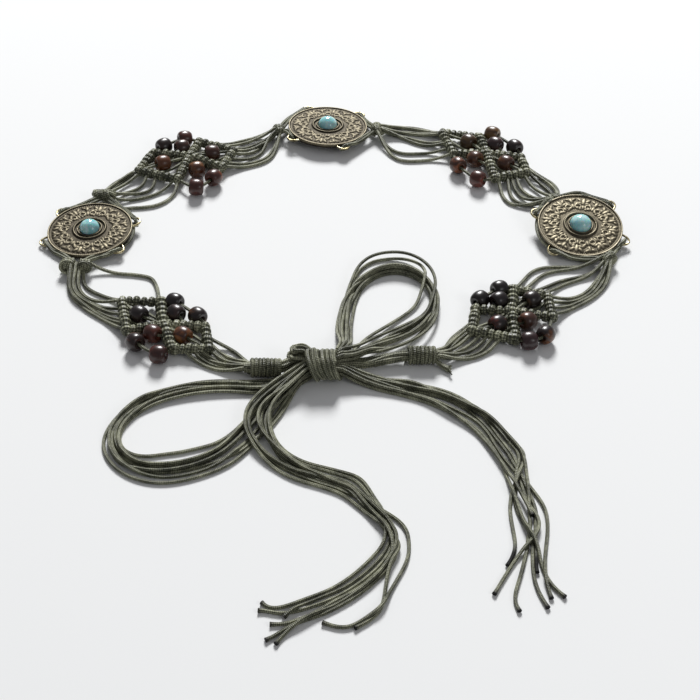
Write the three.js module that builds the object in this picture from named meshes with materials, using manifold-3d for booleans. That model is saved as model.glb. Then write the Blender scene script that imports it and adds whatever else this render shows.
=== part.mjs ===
// Macrame belt of waxed cotton cord, tied in a bow and laid on a flat surface.
// Three cast medallions with turquoise domes and four knotted panels with wooden beads are joined
// by loose strands into one loop. Both tie ends come out of the bow in front and lie on the surface.
// Millimetres, +Z up, +Y away from the bow, +X to the right. The surface is z = 0.
import * as THREE from 'three';
import { mergeVertices } from 'three/addons/utils/BufferGeometryUtils.js';
import Module from 'manifold-3d';

// Driving dimensions
const cordPair = 2.8; // two strands of 2 mm waxed cord lying together
const threadSize = 2; // one strand through a bead
const hitchSize = 4.4; // a bar of double half hitches
const hitchWaist = 3.7; // between two groups of wraps
const hitchesPerBar = 2; // groups of wraps on one side of a diamond
const cornerWidth = 5.4; // where two bars turn into each other
const medallionRadius = 24;
const discThickness = 2;
const wireSize = 1.5;
const beadRadius = 4.75;
const beadHeight = 8.2;
const beadHole = 3.1;
const stoneRadius = 6;
const stoneHeight = 5.6; // nearly half a ball
const panelHeight = 4; // the knotted bars' middle above the surface
const pieceGap = 0.4;

const cord = new THREE.MeshStandardMaterial({ color: 0x64634f, roughness: 0.6, metalness: 0 });
const wood = new THREE.MeshStandardMaterial({ color: 0x4b2a22, roughness: 0.25, metalness: 0 });
const bronze = new THREE.MeshStandardMaterial({ color: 0x8a7d66, roughness: 0.4, metalness: 1 });
const turquoise = new THREE.MeshStandardMaterial({ color: 0x7cc0c6, roughness: 0.15, metalness: 0 });

// Medallions: place of the middle of the back, lean to the right and to the front in degrees,
// the angles of the four wire loops, and the knots that the loops' cords run to.
const medallions = {
  left: { at: [-146.6, 100.5, 2.6], leanRight: -3, leanFront: 2, loops: [135, 15, -46, -160] },
  right: { at: [129.5, 100.5, 5.7], leanRight: 3, leanFront: 10, loops: [159, 44, -23, -130] },
  back: { at: [-13.7, 207, 3.2], leanRight: 2, leanFront: -4, loops: [119, 41, -67, -145] },
};

// Panels: seven corners of two diamonds joined at the cross, and the middles of the eight beads.
// Far and near are as seen from the bow. The first diamond is the one at the start corner.
const panels = {
  front_left: {
    start: [-122, 36], farA: [-101, 35], nearA: [-117, 11], cross: [-98, 16],
    farB: [-76, 14], nearB: [-92, -4], end: [-73, -4],
    beads: {
      cellA: [-111.5, 23], cellB: [-87, 5.5],
      nearInner: [-103, 7], nearOuterA: [-111.5, 0.5], nearOuterB: [-98.5, -9.5],
      farInner: [-92, 24], farOuterA: [-93.5, 34], farOuterB: [-80.5, 22],
    },
  },
  back_right: {
    start: [56, 201], farA: [78, 196], nearA: [62, 178], cross: [82, 178],
    farB: [102, 174], nearB: [85, 152], end: [104, 158],
    beads: {
      cellA: [71.5, 189], cellB: [92.5, 166],
      nearInner: [74.5, 170.5], nearOuterA: [64, 164.5], nearOuterB: [75, 150],
      farInner: [87.5, 186], farOuterA: [86.5, 198], farOuterB: [99, 183.5],
    },
  },
  back_left: {
    start: [-125, 160], farA: [-118, 178], nearA: [-101, 151], cross: [-96, 175],
    farB: [-91, 191], nearB: [-76, 163], end: [-70, 181],
    beads: {
      cellA: [-111, 166], cellB: [-82.5, 177],
      nearInner: [-90.5, 159.5], nearOuterA: [-89.5, 141.5], nearOuterB: [-80, 151.5],
      farInner: [-101, 183], farOuterA: [-112, 185], farOuterB: [-100, 193],
    },
  },
  front_right: {
    start: [106, 40], farA: [88, 46], nearA: [107, 22], cross: [86, 27],
    farB: [67, 29], nearB: [86, 4], end: [64, 11],
    beads: {
      cellA: [97, 35.5], cellB: [77.5, 15],
      nearInner: [93.5, 17.5], nearOuterA: [102, 6.5], nearOuterB: [93, 1.5],
      farInner: [79.5, 35], farOuterA: [80.5, 45], farOuterB: [69.5, 36],
    },
  },
};

// Spans of loose strands, each from a knot or a wrap to one end of a panel. A strand's join runs
// from -1 at the end's far corner over 0 at its tip to 1 at its near corner. Its two sways are
// sideways from the straight line, a third and two thirds of the way along.
const spans = {
  lashing_left_upper: {
    knot: [-142, 133], medallion: 'left', loops: [0, 1], panel: 'back_left', end: 'start',
    strands: [
      { join: 0, swayA: 4, swayB: 2 }, { join: 0.9, swayA: -13, swayB: -19 },
    ],
  },
  lashing_left_lower: {
    knot: [-150, 67], medallion: 'left', loops: [2, 3], panel: 'front_left', end: 'start',
    strands: [
      { join: -1, swayA: 11, swayB: 22 }, { join: 0.3, swayA: -11, swayB: -12 },
    ],
  },
  lashing_right_upper: {
    knot: [118, 129], medallion: 'right', loops: [0, 1], panel: 'back_right', end: 'end',
    strands: [
      { join: -0.2, swayA: -7, swayB: -7 }, { join: 0.6, swayA: 15, swayB: 16 },
    ],
  },
  lashing_right_lower: {
    knot: [142.5, 73], medallion: 'right', loops: [2, 3], panel: 'front_right', end: 'start',
    strands: [
      { join: -0.9, swayA: -9, swayB: -22 }, { join: 0.3, swayA: 9, swayB: 12 },
    ],
  },
  lashing_back_left: {
    knot: [-43, 203], medallion: 'back', loops: [0, 3], panel: 'back_left', end: 'end',
    strands: [
      { join: -0.4, swayA: -4, swayB: -7 }, { join: 0.6, swayA: 7, swayB: 13 },
    ],
  },
  lashing_back_right: {
    knot: [16, 204], medallion: 'back', loops: [1, 2], panel: 'back_right', end: 'start',
    strands: [
      { join: 0, swayA: 5, swayB: 3 }, { join: 0.9, swayA: -22, swayB: -23 },
    ],
  },
  span_wrap_left: {
    knot: [-54.2, -19.8], panel: 'front_left', end: 'end',
    strands: [
      { join: -0.5, swayA: -5, swayB: -9 }, { join: 0, swayA: -1, swayB: 1 },
      { join: 0.6, swayA: 3, swayB: 7 },
    ],
  },
  span_wrap_right: {
    knot: [46.8, -9.8], panel: 'front_right', end: 'end',
    strands: [
      { join: -0.4, swayA: 1, swayB: 6 }, { join: 0.05, swayA: -1, swayB: -1 },
      { join: 0.6, swayA: -7, swayB: -14 },
    ],
  },
};
const spanRise = { knot: 5, first: 2.6, second: 2.4 };

// The bow knot, and the two faces that the bundles meet it at.
const bow = { x: -12.5, y: -21.8, z: 8, half: 8.4, high: 15.8, wide: 18, waist: 14, turns: 4 };
const bowFace = { left: bow.x - bow.half - pieceGap, right: bow.x + bow.half + pieceGap };

// Bundles of eight strands: middle, width across the bundle and height, a row for each section.
// A row with a cut is squared off to +X or -X where it meets the bow knot.
const bundles = {
  bow_loop_right: [
    { x: bowFace.right, y: -17, z: 11, wide: 5, high: 5, cut: 1 },
    { x: 5, y: -10, z: 10, wide: 5.5, high: 5 }, { x: 17, y: 1, z: 8, wide: 6, high: 6 },
    { x: 31, y: 12, z: 6.5, wide: 7, high: 6 }, { x: 43, y: 27, z: 5, wide: 7, high: 6 },
    { x: 46, y: 45, z: 4, wide: 7, high: 6 }, { x: 39, y: 62, z: 3.5, wide: 7, high: 6 },
    { x: 25, y: 70, z: 3.5, wide: 7, high: 6 }, { x: 12, y: 64, z: 3.5, wide: 7, high: 6 },
    { x: 4, y: 45, z: 4, wide: 6.5, high: 6 }, { x: 0, y: 25, z: 4.6, wide: 6, high: 6 },
    { x: -2, y: 8, z: 6.4, wide: 5.5, high: 6 }, { x: -1.5, y: -5, z: 9, wide: 5, high: 5 },
    { x: bowFace.right, y: -14.5, z: 10.6, wide: 4, high: 4.4, cut: -1 },
  ],
  bow_loop_left: [
    { x: bowFace.left, y: -22.5, z: 3.4, wide: 6, high: 4.4, cut: -1 },
    { x: -29, y: -27, z: 3, wide: 6, high: 4.4 },
    { x: -42, y: -31.5, z: 2.8, wide: 7.5, high: 4.4 },
    { x: -60, y: -30.5, z: 2.8, wide: 9, high: 4.4 }, { x: -74, y: -31, z: 2.8, wide: 9, high: 4.4 },
    { x: -88, y: -35, z: 2.8, wide: 10, high: 4.4 }, { x: -103, y: -42, z: 2.8, wide: 10, high: 4.4 },
    { x: -114, y: -54, z: 2.8, wide: 10, high: 4.4 }, { x: -118, y: -68, z: 2.8, wide: 8, high: 4.4 },
    { x: -114, y: -82, z: 2.8, wide: 8, high: 4.4 }, { x: -104, y: -91, z: 2.8, wide: 10, high: 4.4 },
    { x: -91, y: -92, z: 2.8, wide: 14, high: 4.4 }, { x: -77, y: -89, z: 2.8, wide: 15, high: 4.4 },
    { x: -62, y: -80.5, z: 2.8, wide: 14, high: 4.4 }, { x: -51, y: -65, z: 2.8, wide: 12, high: 4.4 },
    { x: -39, y: -43, z: 2.8, wide: 10, high: 4.4 },
    { x: -30, y: -30, z: 3, wide: 7, high: 4.4 },
    { x: bowFace.left, y: -24, z: 3.4, wide: 4, high: 4, cut: 1 },
  ],
  tie_end_left: [
    { x: bowFace.left, y: -23, z: 9.8, wide: 7, high: 5, cut: -1 },
    { x: -30, y: -31, z: 9.4, wide: 9, high: 5 },
    { x: -38, y: -39, z: 9, wide: 12, high: 5 }, { x: -44, y: -48, z: 8.8, wide: 13, high: 5 },
    { x: -46, y: -59, z: 8.6, wide: 13, high: 5 }, { x: -42, y: -71, z: 7, wide: 13, high: 5 },
    { x: -34, y: -83, z: 4.5, wide: 13, high: 5 }, { x: -22, y: -92, z: 3.2, wide: 14, high: 5 },
    { x: -6, y: -98, z: 3, wide: 15, high: 5 }, { x: 6, y: -106, z: 3, wide: 15, high: 5 },
    { x: 14, y: -117, z: 3, wide: 14, high: 5 }, { x: 17, y: -131, z: 3, wide: 13, high: 5 },
    { x: 16, y: -145, z: 2.6, wide: 11, high: 4.4 },
  ],
  tie_end_right: [
    { x: bowFace.right, y: -23, z: 7, wide: 5, high: 5, cut: 1 },
    { x: 7, y: -26, z: 5.5, wide: 8, high: 5 },
    { x: 25, y: -31, z: 4, wide: 14, high: 5 }, { x: 46, y: -39, z: 3.2, wide: 15, high: 5 },
    { x: 65, y: -55, z: 3, wide: 15, high: 5 }, { x: 76, y: -76, z: 3, wide: 14, high: 5 },
    { x: 83, y: -98, z: 3, wide: 13, high: 5 }, { x: 85, y: -117, z: 2.6, wide: 12, high: 4.4 },
  ],
};

// Loose ends that fan out of each tie end, as routes in millimetres.
const looseEnds = {
  tie_end_left: [
    [[13, -141, 2.4], [9, -157, 2.2], [-2, -167, 2.2], [-20, -176, 2.2], [-40, -178, 2.2]],
    [[17, -141, 2.4], [15, -161, 2.2], [3, -175, 2.2], [-14, -186, 2.2], [-32, -196, 2.2]],
    [[21, -119, 2.4], [27, -141, 2.2], [23, -162, 2.2], [7, -183, 2.2], [-11, -187, 2.2]],
  ],
  tie_end_right: [
    [[81, -112, 2.4], [78, -133, 2.2], [73, -152, 2.2], [66, -172, 2.2]],
    [[85, -112, 2.4], [86, -138, 2.2], [85, -158, 2.2], [85, -178, 2.2]],
    [[89, -112, 2.4], [92, -138, 2.2], [92, -155, 2.2], [95, -172, 2.2]],
  ],
};

const wasm = await Module();
wasm.setup();

function solidOf(geometry) {
  const open = geometry.clone();
  open.deleteAttribute('normal');
  open.deleteAttribute('uv');
  const merged = mergeVertices(open, 1e-4);
  return new wasm.Manifold(new wasm.Mesh({
    numProp: 3,
    vertProperties: new Float32Array(merged.attributes.position.array),
    triVerts: new Uint32Array(merged.index.array),
  }));
}

function geometryOf(solid) {
  const mesh = solid.getMesh();
  const geometry = new THREE.BufferGeometry();
  geometry.setAttribute('position', new THREE.BufferAttribute(mesh.vertProperties, 3));
  geometry.setIndex(new THREE.BufferAttribute(mesh.triVerts, 1));
  return geometry;
}

function fuse(geometries) {
  return geometryOf(geometries.map(solidOf).reduce((whole, piece) => whole.add(piece)));
}

function named(name, geometry, material) {
  const mesh = new THREE.Mesh(geometry, material);
  mesh.name = name;
  return mesh;
}

const point = (x, y, z) => new THREE.Vector3(x, y, z);

// A round tube along a smooth route through the points.
function tube(points, diameter, sides, steps) {
  const section = new THREE.Shape();
  for (let i = 0; i < sides; i++) {
    const turn = 2 * Math.PI * i / sides;
    const x = Math.cos(turn) * diameter / 2;
    const y = Math.sin(turn) * diameter / 2;
    if (i === 0) section.moveTo(x, y); else section.lineTo(x, y);
  }
  const route = new THREE.CatmullRomCurve3(points, false, 'centripetal');
  return new THREE.ExtrudeGeometry(section, { steps, extrudePath: route });
}

// A loft along sections that stay upright: each has a middle, a width and a height. A section
// with a cut faces that way instead of along the route. A ring's last section meets its first.
function loft(sections, sides, ring = false) {
  const count = sections.length;
  const last = count - 1;
  const up = point(0, 0, 1);
  const corners = [];
  const faces = [];
  sections.forEach((section, i) => {
    const before = sections[ring ? (i + last) % count : Math.max(i - 1, 0)].middle;
    const after = sections[ring ? (i + 1) % count : Math.min(i + 1, last)].middle;
    const along = section.cut ?? after.clone().sub(before).normalize();
    const side = up.clone().cross(along).normalize();
    const rise = along.clone().cross(side);
    for (let j = 0; j < sides; j++) {
      const turn = 2 * Math.PI * (j + 0.5) / sides;
      const corner = section.middle.clone()
        .addScaledVector(side, Math.cos(turn) * section.wide / 2)
        .addScaledVector(rise, Math.sin(turn) * section.high / 2);
      corners.push(corner.x, corner.y, corner.z);
    }
  });
  const at = (i, j) => (i % count) * sides + j % sides;
  for (let i = 0; i < (ring ? count : last); i++) {
    for (let j = 0; j < sides; j++) {
      faces.push(at(i, j), at(i, j + 1), at(i + 1, j + 1));
      faces.push(at(i, j), at(i + 1, j + 1), at(i + 1, j));
    }
  }
  for (let j = 1; j < sides - 1 && !ring; j++) {
    faces.push(at(0, 0), at(0, j + 1), at(0, j));
    faces.push(at(last, 0), at(last, j), at(last, j + 1));
  }
  const geometry = new THREE.BufferGeometry();
  geometry.setAttribute('position', new THREE.Float32BufferAttribute(corners, 3));
  geometry.setIndex(faces);
  return geometry;
}

// Sections of a straight ribbed stretch, narrow between the ribs and full on each rib, without
// the section at its far end.
function ribs(from, to, count, full, waist) {
  const sections = [];
  for (let i = 0; i < 2 * count; i++) {
    const size = i % 2 ? full : waist;
    sections.push({ middle: from.clone().lerp(to, i / (2 * count)), wide: size, high: size });
  }
  return sections;
}

// A closed ribbed form between two points.
function wrapping(from, to, count, full, waist, sides) {
  return loft([...ribs(from, to, count, full, waist), { middle: to, wide: waist, high: waist }], sides);
}

function lump(middle, size, turn) {
  return new THREE.SphereGeometry(1, 6, 4).scale(...size).rotateZ(turn).translate(...middle);
}

// Medallion: a cast disc with a raised rim, a ring of leaves and buds in relief and a bezel ring
// round a recess for the stone. Four wire loops are soldered to its edge.
const fieldHeight = discThickness + 0.3;
const bezelRadius = 9.3;
const discSegments = 16;

function discBody() {
  const profile = [
    [0, 0], [medallionRadius, 0], [medallionRadius, 2.5],
    [medallionRadius - 1.3, 2.5], [medallionRadius - 1.7, discThickness - 0.2],
    [bezelRadius + 1, fieldHeight], [bezelRadius, fieldHeight + 1],
    [bezelRadius - 1.1, fieldHeight + 1], [bezelRadius - 1.6, discThickness], [0, discThickness],
  ];
  const outline = profile.map(([r, z]) => new THREE.Vector2(r, z));
  return new THREE.LatheGeometry(outline, discSegments).rotateX(Math.PI / 2);
}

function relief(outline, radius, turn) {
  const shape = new THREE.Shape(outline.map(([x, y]) => new THREE.Vector2(x, y)));
  return new THREE.ExtrudeGeometry(shape, { depth: 0.9, bevelEnabled: false })
    .translate(radius, 0, discThickness - 0.4)
    .rotateZ(turn);
}

const leafOutline = [[-2.8, 0], [1.4, -2.4], [0.6, 0], [1.4, 2.4]];
const budOutline = [[-2, -1.4], [2, 0], [-2, 1.4]];

function wireLoop(angle) {
  const reach = 5.3;
  const half = 3.9;
  const points = [];
  for (let i = 0; i <= 6; i++) {
    const turn = Math.PI * (i / 6 - 0.5);
    const out = medallionRadius - 0.6 + Math.cos(turn) * reach;
    points.push(point(out, Math.sin(turn) * half, 1.1));
  }
  return tube(points, wireSize, 5, 4).rotateZ(angle * Math.PI / 180);
}

function medallionGeometry(loops) {
  const pieces = [discBody(), ...loops.map(wireLoop)];
  const motifs = 8;
  for (let i = 0; i < motifs; i++) {
    const turn = 2 * Math.PI * (i + 0.25) / motifs;
    pieces.push(relief(leafOutline, 15.2, turn));
    pieces.push(relief(budOutline, 18.6, turn + Math.PI / motifs));
  }
  return fuse(pieces);
}

function stoneGeometry() {
  const outline = [new THREE.Vector2(0, 0), new THREE.Vector2(stoneRadius, 0)];
  for (let i = 1; i < 3; i++) {
    const turn = Math.PI / 2 * i / 3;
    outline.push(new THREE.Vector2(Math.cos(turn) * stoneRadius, Math.sin(turn) * stoneHeight));
  }
  outline.push(new THREE.Vector2(0, stoneHeight));
  return new THREE.LatheGeometry(outline, 12).rotateX(Math.PI / 2);
}

// Bead: a turned barrel with a drilled hole along +Z.
function beadGeometry() {
  const outline = [
    [beadHole / 2, -beadHeight / 2], [beadRadius, -0.2 * beadHeight], [beadRadius, 0.2 * beadHeight],
    [beadHole / 2, beadHeight / 2], [beadHole / 2, -beadHeight / 2],
  ].map(([r, z]) => new THREE.Vector2(r, z));
  return new THREE.LatheGeometry(outline, 10).rotateX(Math.PI / 2);
}

const cellBeadHeight = 5.2;
const outerBeadHeight = beadRadius;
const beadRise = {
  cellA: cellBeadHeight, cellB: cellBeadHeight, nearInner: cellBeadHeight, farInner: cellBeadHeight,
  nearOuterA: outerBeadHeight, nearOuterB: outerBeadHeight,
  farOuterA: outerBeadHeight, farOuterB: outerBeadHeight,
};

// Threads of a panel: the corners or bar middles that each runs between, and the beads on it.
const threads = [
  { from: ['start'], beads: ['cellA'], to: ['cross'] },
  { from: ['cross'], beads: ['cellB'], to: ['end'] },
  { from: ['nearA', 'cross'], beads: ['nearInner'], to: ['cross', 'nearB'] },
  { from: ['farA', 'cross'], beads: ['farInner'], to: ['cross', 'farB'] },
  { from: ['nearA'], beads: ['nearOuterA', 'nearOuterB'], to: ['nearB'] },
  { from: ['farA'], beads: ['farOuterA', 'farOuterB'], to: ['farB'] },
];

function panelPoint(panel, names) {
  const sum = point(0, 0, 0);
  names.forEach((name) => sum.add(point(...panel[name], panelHeight)));
  return sum.divideScalar(names.length);
}

// The middle and the direction of each bead on one thread.
function beadPlaces(panel, thread) {
  const stops = [
    panelPoint(panel, thread.from),
    ...thread.beads.map((name) => point(...panel.beads[name], beadRise[name])),
    panelPoint(panel, thread.to),
  ];
  return thread.beads.map((name, i) => ({
    name, middle: stops[i + 1], along: stops[i + 2].clone().sub(stops[i]).normalize(),
  }));
}

function threadLoft(panel, thread) {
  const sections = [{ middle: panelPoint(panel, thread.from) }];
  for (const { middle, along } of beadPlaces(panel, thread)) {
    for (const step of [-1, 1]) {
      const place = middle.clone().addScaledVector(along, step * (beadHeight / 2 + 0.3));
      sections.push({ middle: place, cut: along });
    }
  }
  sections.push({ middle: panelPoint(panel, thread.to) });
  return loft(sections.map((s) => ({ ...s, wide: threadSize, high: threadSize })), 3);
}

// The knotted bars are one run round both diamonds, crossing itself in the middle.
function panelGeometry(panel) {
  const run = ['start', 'farA', 'cross', 'nearB', 'end', 'farB', 'cross', 'nearA'];
  const sections = run.flatMap((name, i) => {
    const next = run[(i + 1) % run.length];
    const bar = ribs(panelPoint(panel, [name]), panelPoint(panel, [next]),
      hitchesPerBar, hitchSize, hitchWaist);
    if (name !== 'cross') bar[0].wide = cornerWidth;
    return bar;
  });
  return fuse([loft(sections, 5, true), ...threads.map((thread) => threadLoft(panel, thread))]);
}

// Places a geometry made along +Z at a middle, turned to a direction.
function turnTo(geometry, middle, along) {
  const turn = new THREE.Quaternion().setFromUnitVectors(point(0, 0, 1), along);
  return geometry.applyQuaternion(turn).translate(middle.x, middle.y, middle.z);
}

// The strands of a span, from the knot to the hitched bars at the panel's end.
function spanTubes(span) {
  const panel = panels[span.panel];
  const corners = span.end === 'start' ? ['farA', 'start', 'nearA'] : ['farB', 'end', 'nearB'];
  const [far, tip, near] = corners.map((name) => panelPoint(panel, [name]));
  const knot = point(...span.knot, spanRise.knot);
  const along = tip.clone().sub(knot).setZ(0);
  const reach = along.length();
  along.normalize();
  const side = point(-along.y, along.x, 0);
  const onWay = (share, sway, height) => knot.clone()
    .addScaledVector(along, share * reach).addScaledVector(side, sway).setZ(height);
  const outward = tip.clone().sub(panelPoint(panel, ['cross'])).normalize();
  // Away from the panel: square to the bar, or straight out at the tip.
  const facing = (join) => {
    const bar = (join < 0 ? far : near).clone().sub(tip).normalize();
    const square = point(-bar.y, bar.x, 0);
    if (square.dot(outward) < 0) square.negate();
    return outward.clone().lerp(square, Math.min(1, 3 * Math.abs(join))).normalize();
  };
  return span.strands.map(({ join, swayA, swayB }) => {
    const second = onWay(2 / 3, swayB, spanRise.second);
    const bar = tip.clone().lerp(join < 0 ? far : near, Math.abs(join));
    const stop = bar.addScaledVector(facing(join), hitchSize / 2 + cordPair / 2 + pieceGap);
    return tube([knot, onWay(1 / 3, swayA, spanRise.first), second, stop], cordPair, 5, 3);
  });
}

// The doubled cord from a wire loop of a medallion to the knot beside its rim.
function lashingArm(holder, angle, knot) {
  const onRim = (radius, degrees, height) => {
    const turn = degrees * Math.PI / 180;
    return holder.localToWorld(point(radius * Math.cos(turn), radius * Math.sin(turn), height));
  };
  const middle = holder.worldToLocal(knot.clone());
  const knotAngle = Math.atan2(middle.y, middle.x) * 180 / Math.PI;
  const swing = ((knotAngle - angle + 540) % 360) - 180;
  const hole = medallionRadius + 2;
  return tube([
    onRim(hole, angle, 0), onRim(hole, angle, 2.8), onRim(hole + 0.5, angle + 0.14 * swing, 4.9),
    onRim(hole + 1.4, angle + 0.5 * swing, 4.6), knot,
  ], 2.2, 5, 6);
}

// The belt, as one group of pieces
const belt = new THREE.Group();

const holders = {};
for (const [side, { at, leanRight, leanFront, loops }] of Object.entries(medallions)) {
  const holder = new THREE.Group();
  holder.position.set(...at);
  holder.rotation.set(leanFront * Math.PI / 180, leanRight * Math.PI / 180, 0);
  holder.add(named('medallion_' + side, medallionGeometry(loops), bronze));
  const stone = named('turquoise_' + side, stoneGeometry(), turquoise);
  stone.position.z = discThickness + pieceGap;
  holder.add(stone);
  holder.updateMatrixWorld(true);
  holders[side] = holder;
  belt.add(holder);
}

for (const [place, panel] of Object.entries(panels)) {
  belt.add(named('panel_' + place, panelGeometry(panel), cord));
  let count = 0;
  for (const thread of threads) {
    for (const { middle, along } of beadPlaces(panel, thread)) {
      count += 1;
      belt.add(named(`bead_${place}_${count}`, turnTo(beadGeometry(), middle, along), wood));
    }
  }
}

for (const [name, span] of Object.entries(spans)) {
  const pieces = spanTubes(span);
  if (span.medallion) {
    const { loops } = medallions[span.medallion];
    const knot = point(...span.knot, spanRise.knot);
    const turn = Math.atan2(span.knot[1] - medallions[span.medallion].at[1],
      span.knot[0] - medallions[span.medallion].at[0]);
    pieces.push(lump(knot.toArray(), [3.4, 5, 3.4], turn));
    for (const i of span.loops) pieces.push(lashingArm(holders[span.medallion], loops[i], knot));
  }
  belt.add(named(name, fuse(pieces), cord));
}

function bundle(sections, sides) {
  return loft(sections.map(({ x, y, z, wide, high, cut }) => ({
    middle: point(x, y, z), wide, high, cut: cut && point(cut, 0, 0),
  })), sides);
}

belt.add(named('wrap_left', fuse([
  wrapping(point(-52, -19.8, 5.1), point(-34.4, -20, 5.1), 5, 10, 8.6, 8),
  bundle([
    { x: -36, y: -19.8, z: 5.4, wide: 6.5, high: 6.5 }, { x: -29, y: -17.5, z: 6.6, wide: 7, high: 6.5 },
    { x: bowFace.left, y: -14.8, z: 7.2, wide: 6, high: 6, cut: 1 },
  ], 6),
]), cord));

belt.add(named('wrap_right', fuse([
  wrapping(point(28.4, -10, 5), point(44.6, -10, 5), 4, 9.8, 8.4, 8),
  bundle([
    { x: 30, y: -10, z: 4.8, wide: 6.5, high: 6 }, { x: 18, y: -12, z: 4, wide: 7, high: 5.5 },
    { x: 6, y: -15, z: 3.8, wide: 6.5, high: 5 },
    { x: bowFace.right, y: -16.4, z: 3.8, wide: 6, high: 5, cut: -1 },
  ], 6),
  tube([point(43.5, -12, 4), point(47, -14.5, 2.6), point(50.5, -17, 1.6)], 2.4, 6, 3),
]), cord));

// The turns of the bow knot lie in a flattened round, wider than high.
const bowTurns = wrapping(point(-bow.half, 0, 0), point(bow.half, 0, 0),
  bow.turns, bow.high, bow.waist, 10);
belt.add(named('bow_knot', bowTurns
  .scale(1, bow.wide / bow.high, 1).translate(bow.x, bow.y, bow.z), cord));

for (const [name, sections] of Object.entries(bundles)) {
  const pieces = [bundle(sections, 6)];
  for (const route of looseEnds[name] ?? []) {
    pieces.push(tube(route.map((p) => point(...p)), 3.8, 5, 3));
  }
  belt.add(named(name, fuse(pieces), cord));
}

// The origin is on the surface, under the middle of the belt without its bow loops and tie ends.
const footprint = new THREE.Box3();
belt.updateMatrixWorld(true);
belt.traverse((piece) => {
  if (piece.isMesh && !(piece.name in bundles)) footprint.expandByObject(piece, true);
});
const middle = footprint.getCenter(point(0, 0, 0));
belt.position.set(-middle.x, -middle.y, -footprint.min.z);

const group = new THREE.Group();
group.add(belt);
export default group;
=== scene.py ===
import math

import bpy
import numpy as np
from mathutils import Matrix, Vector


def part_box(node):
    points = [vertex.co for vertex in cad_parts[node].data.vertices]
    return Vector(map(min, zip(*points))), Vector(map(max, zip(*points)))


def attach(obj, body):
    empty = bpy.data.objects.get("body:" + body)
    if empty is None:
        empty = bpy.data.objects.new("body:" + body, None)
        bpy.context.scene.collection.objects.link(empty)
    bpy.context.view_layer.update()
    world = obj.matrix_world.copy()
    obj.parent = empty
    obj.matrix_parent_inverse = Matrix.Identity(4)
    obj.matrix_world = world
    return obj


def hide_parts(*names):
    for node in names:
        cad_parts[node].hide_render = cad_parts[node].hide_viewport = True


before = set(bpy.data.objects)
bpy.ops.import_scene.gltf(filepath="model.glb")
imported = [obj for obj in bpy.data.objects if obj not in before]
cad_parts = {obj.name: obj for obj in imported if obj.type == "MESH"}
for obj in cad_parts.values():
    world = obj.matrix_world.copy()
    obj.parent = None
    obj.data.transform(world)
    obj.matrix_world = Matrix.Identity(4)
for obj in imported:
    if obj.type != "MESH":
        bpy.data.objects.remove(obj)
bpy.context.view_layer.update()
scene = bpy.context.scene

# Every place below is in metres on the sheet that the belt was laid out on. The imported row
# has its own origin, so one bead tells how far the sheet is moved.
beadLow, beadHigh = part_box("bead_front_left_1")
gridShift = np.array((beadLow + beadHigh) / 2) - np.array([-0.1115, 0.023, 0.0052])


def place(points):
    return np.asarray(points, float) / 1000 + gridShift


# camera: 40 degrees above the table, square to the belt
lens = {"pitch": 40, "focalPixels": 1700, "frameWidth": 700, "seat": (0, -677.6, 568.6)}
cameraData = bpy.data.cameras.new("photoCamera")
cameraData.sensor_width = 36
cameraData.lens = lens["focalPixels"] * 36 / lens["frameWidth"]
cameraData.clip_start, cameraData.clip_end = 0.05, 20
camera = bpy.data.objects.new("photoCamera", cameraData)
camera.location = place(lens["seat"])
camera.rotation_euler = (math.radians(90 - lens["pitch"]), 0, 0)
scene.collection.objects.link(camera)
scene.camera = camera


def linear(code):
    parts = [int(code[k:k + 2], 16) / 255 for k in (1, 3, 5)]
    return tuple(p / 12.92 if p <= 0.04045 else ((p + 0.055) / 1.055) ** 2.4 for p in parts) + (1,)


def addNode(tree, kind, values=None, links=None, stops=(), **settings):
    node = tree.nodes.new(kind)
    for name, value in settings.items():
        setattr(node, name, value)
    for name, value in (values or {}).items():
        node.inputs[name].default_value = value
    for name, source in (links or {}).items():
        tree.links.new(source, node.inputs[name])
    if stops:  # the colours along a ramp
        band = node.color_ramp
        for k in (0, -1):
            band.elements[k].position, band.elements[k].color = stops[k][0], linear(stops[k][1])
        for position, code in stops[1:-1]:
            band.elements.new(position).color = linear(code)
    return node


def patternScale(size):
    # the scale of a pattern whose features are about this big, in mm
    return 1000 / size


def smoothLine(points, step=0.0016):
    knots = np.asarray(points, float)
    padded = np.vstack([2 * knots[0] - knots[1], knots, 2 * knots[-1] - knots[-2]])
    t = np.linspace(0, 1, 20, endpoint=False)[:, None]
    dense = []
    for a, b, c, d in zip(padded, padded[1:], padded[2:], padded[3:]):
        dense.append(0.5 * (2 * b + (c - a) * t + (2 * a - 5 * b + 4 * c - d) * t ** 2
                            + (3 * b - a - 3 * c + d) * t ** 3))
    dense = np.vstack(dense + [knots[-1:]])
    run = np.r_[0, np.cumsum(np.linalg.norm(np.diff(dense[:, :3], axis=0), axis=1))]
    even = np.linspace(0, run[-1], max(4, round(run[-1] / step) + 1))
    return np.column_stack([np.interp(even, run, column) for column in dense.T])


def softStep(x, low, high):
    t = np.clip((np.asarray(x, float) - low) / (high - low), 0, 1)
    return t * t * (3 - 2 * t)


def drift(rng, count, span, waves=3):
    # a slow wandering between -span and span
    t = np.linspace(0, 1, count)
    total = np.zeros(count)
    for k in range(1, waves + 1):
        share = rng.uniform(-1, 1) / k
        total += share * np.sin(math.pi * (k * t * rng.uniform(0.8, 1.6) + rng.uniform(0, 2)))
    return span * total / 1.4


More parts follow.
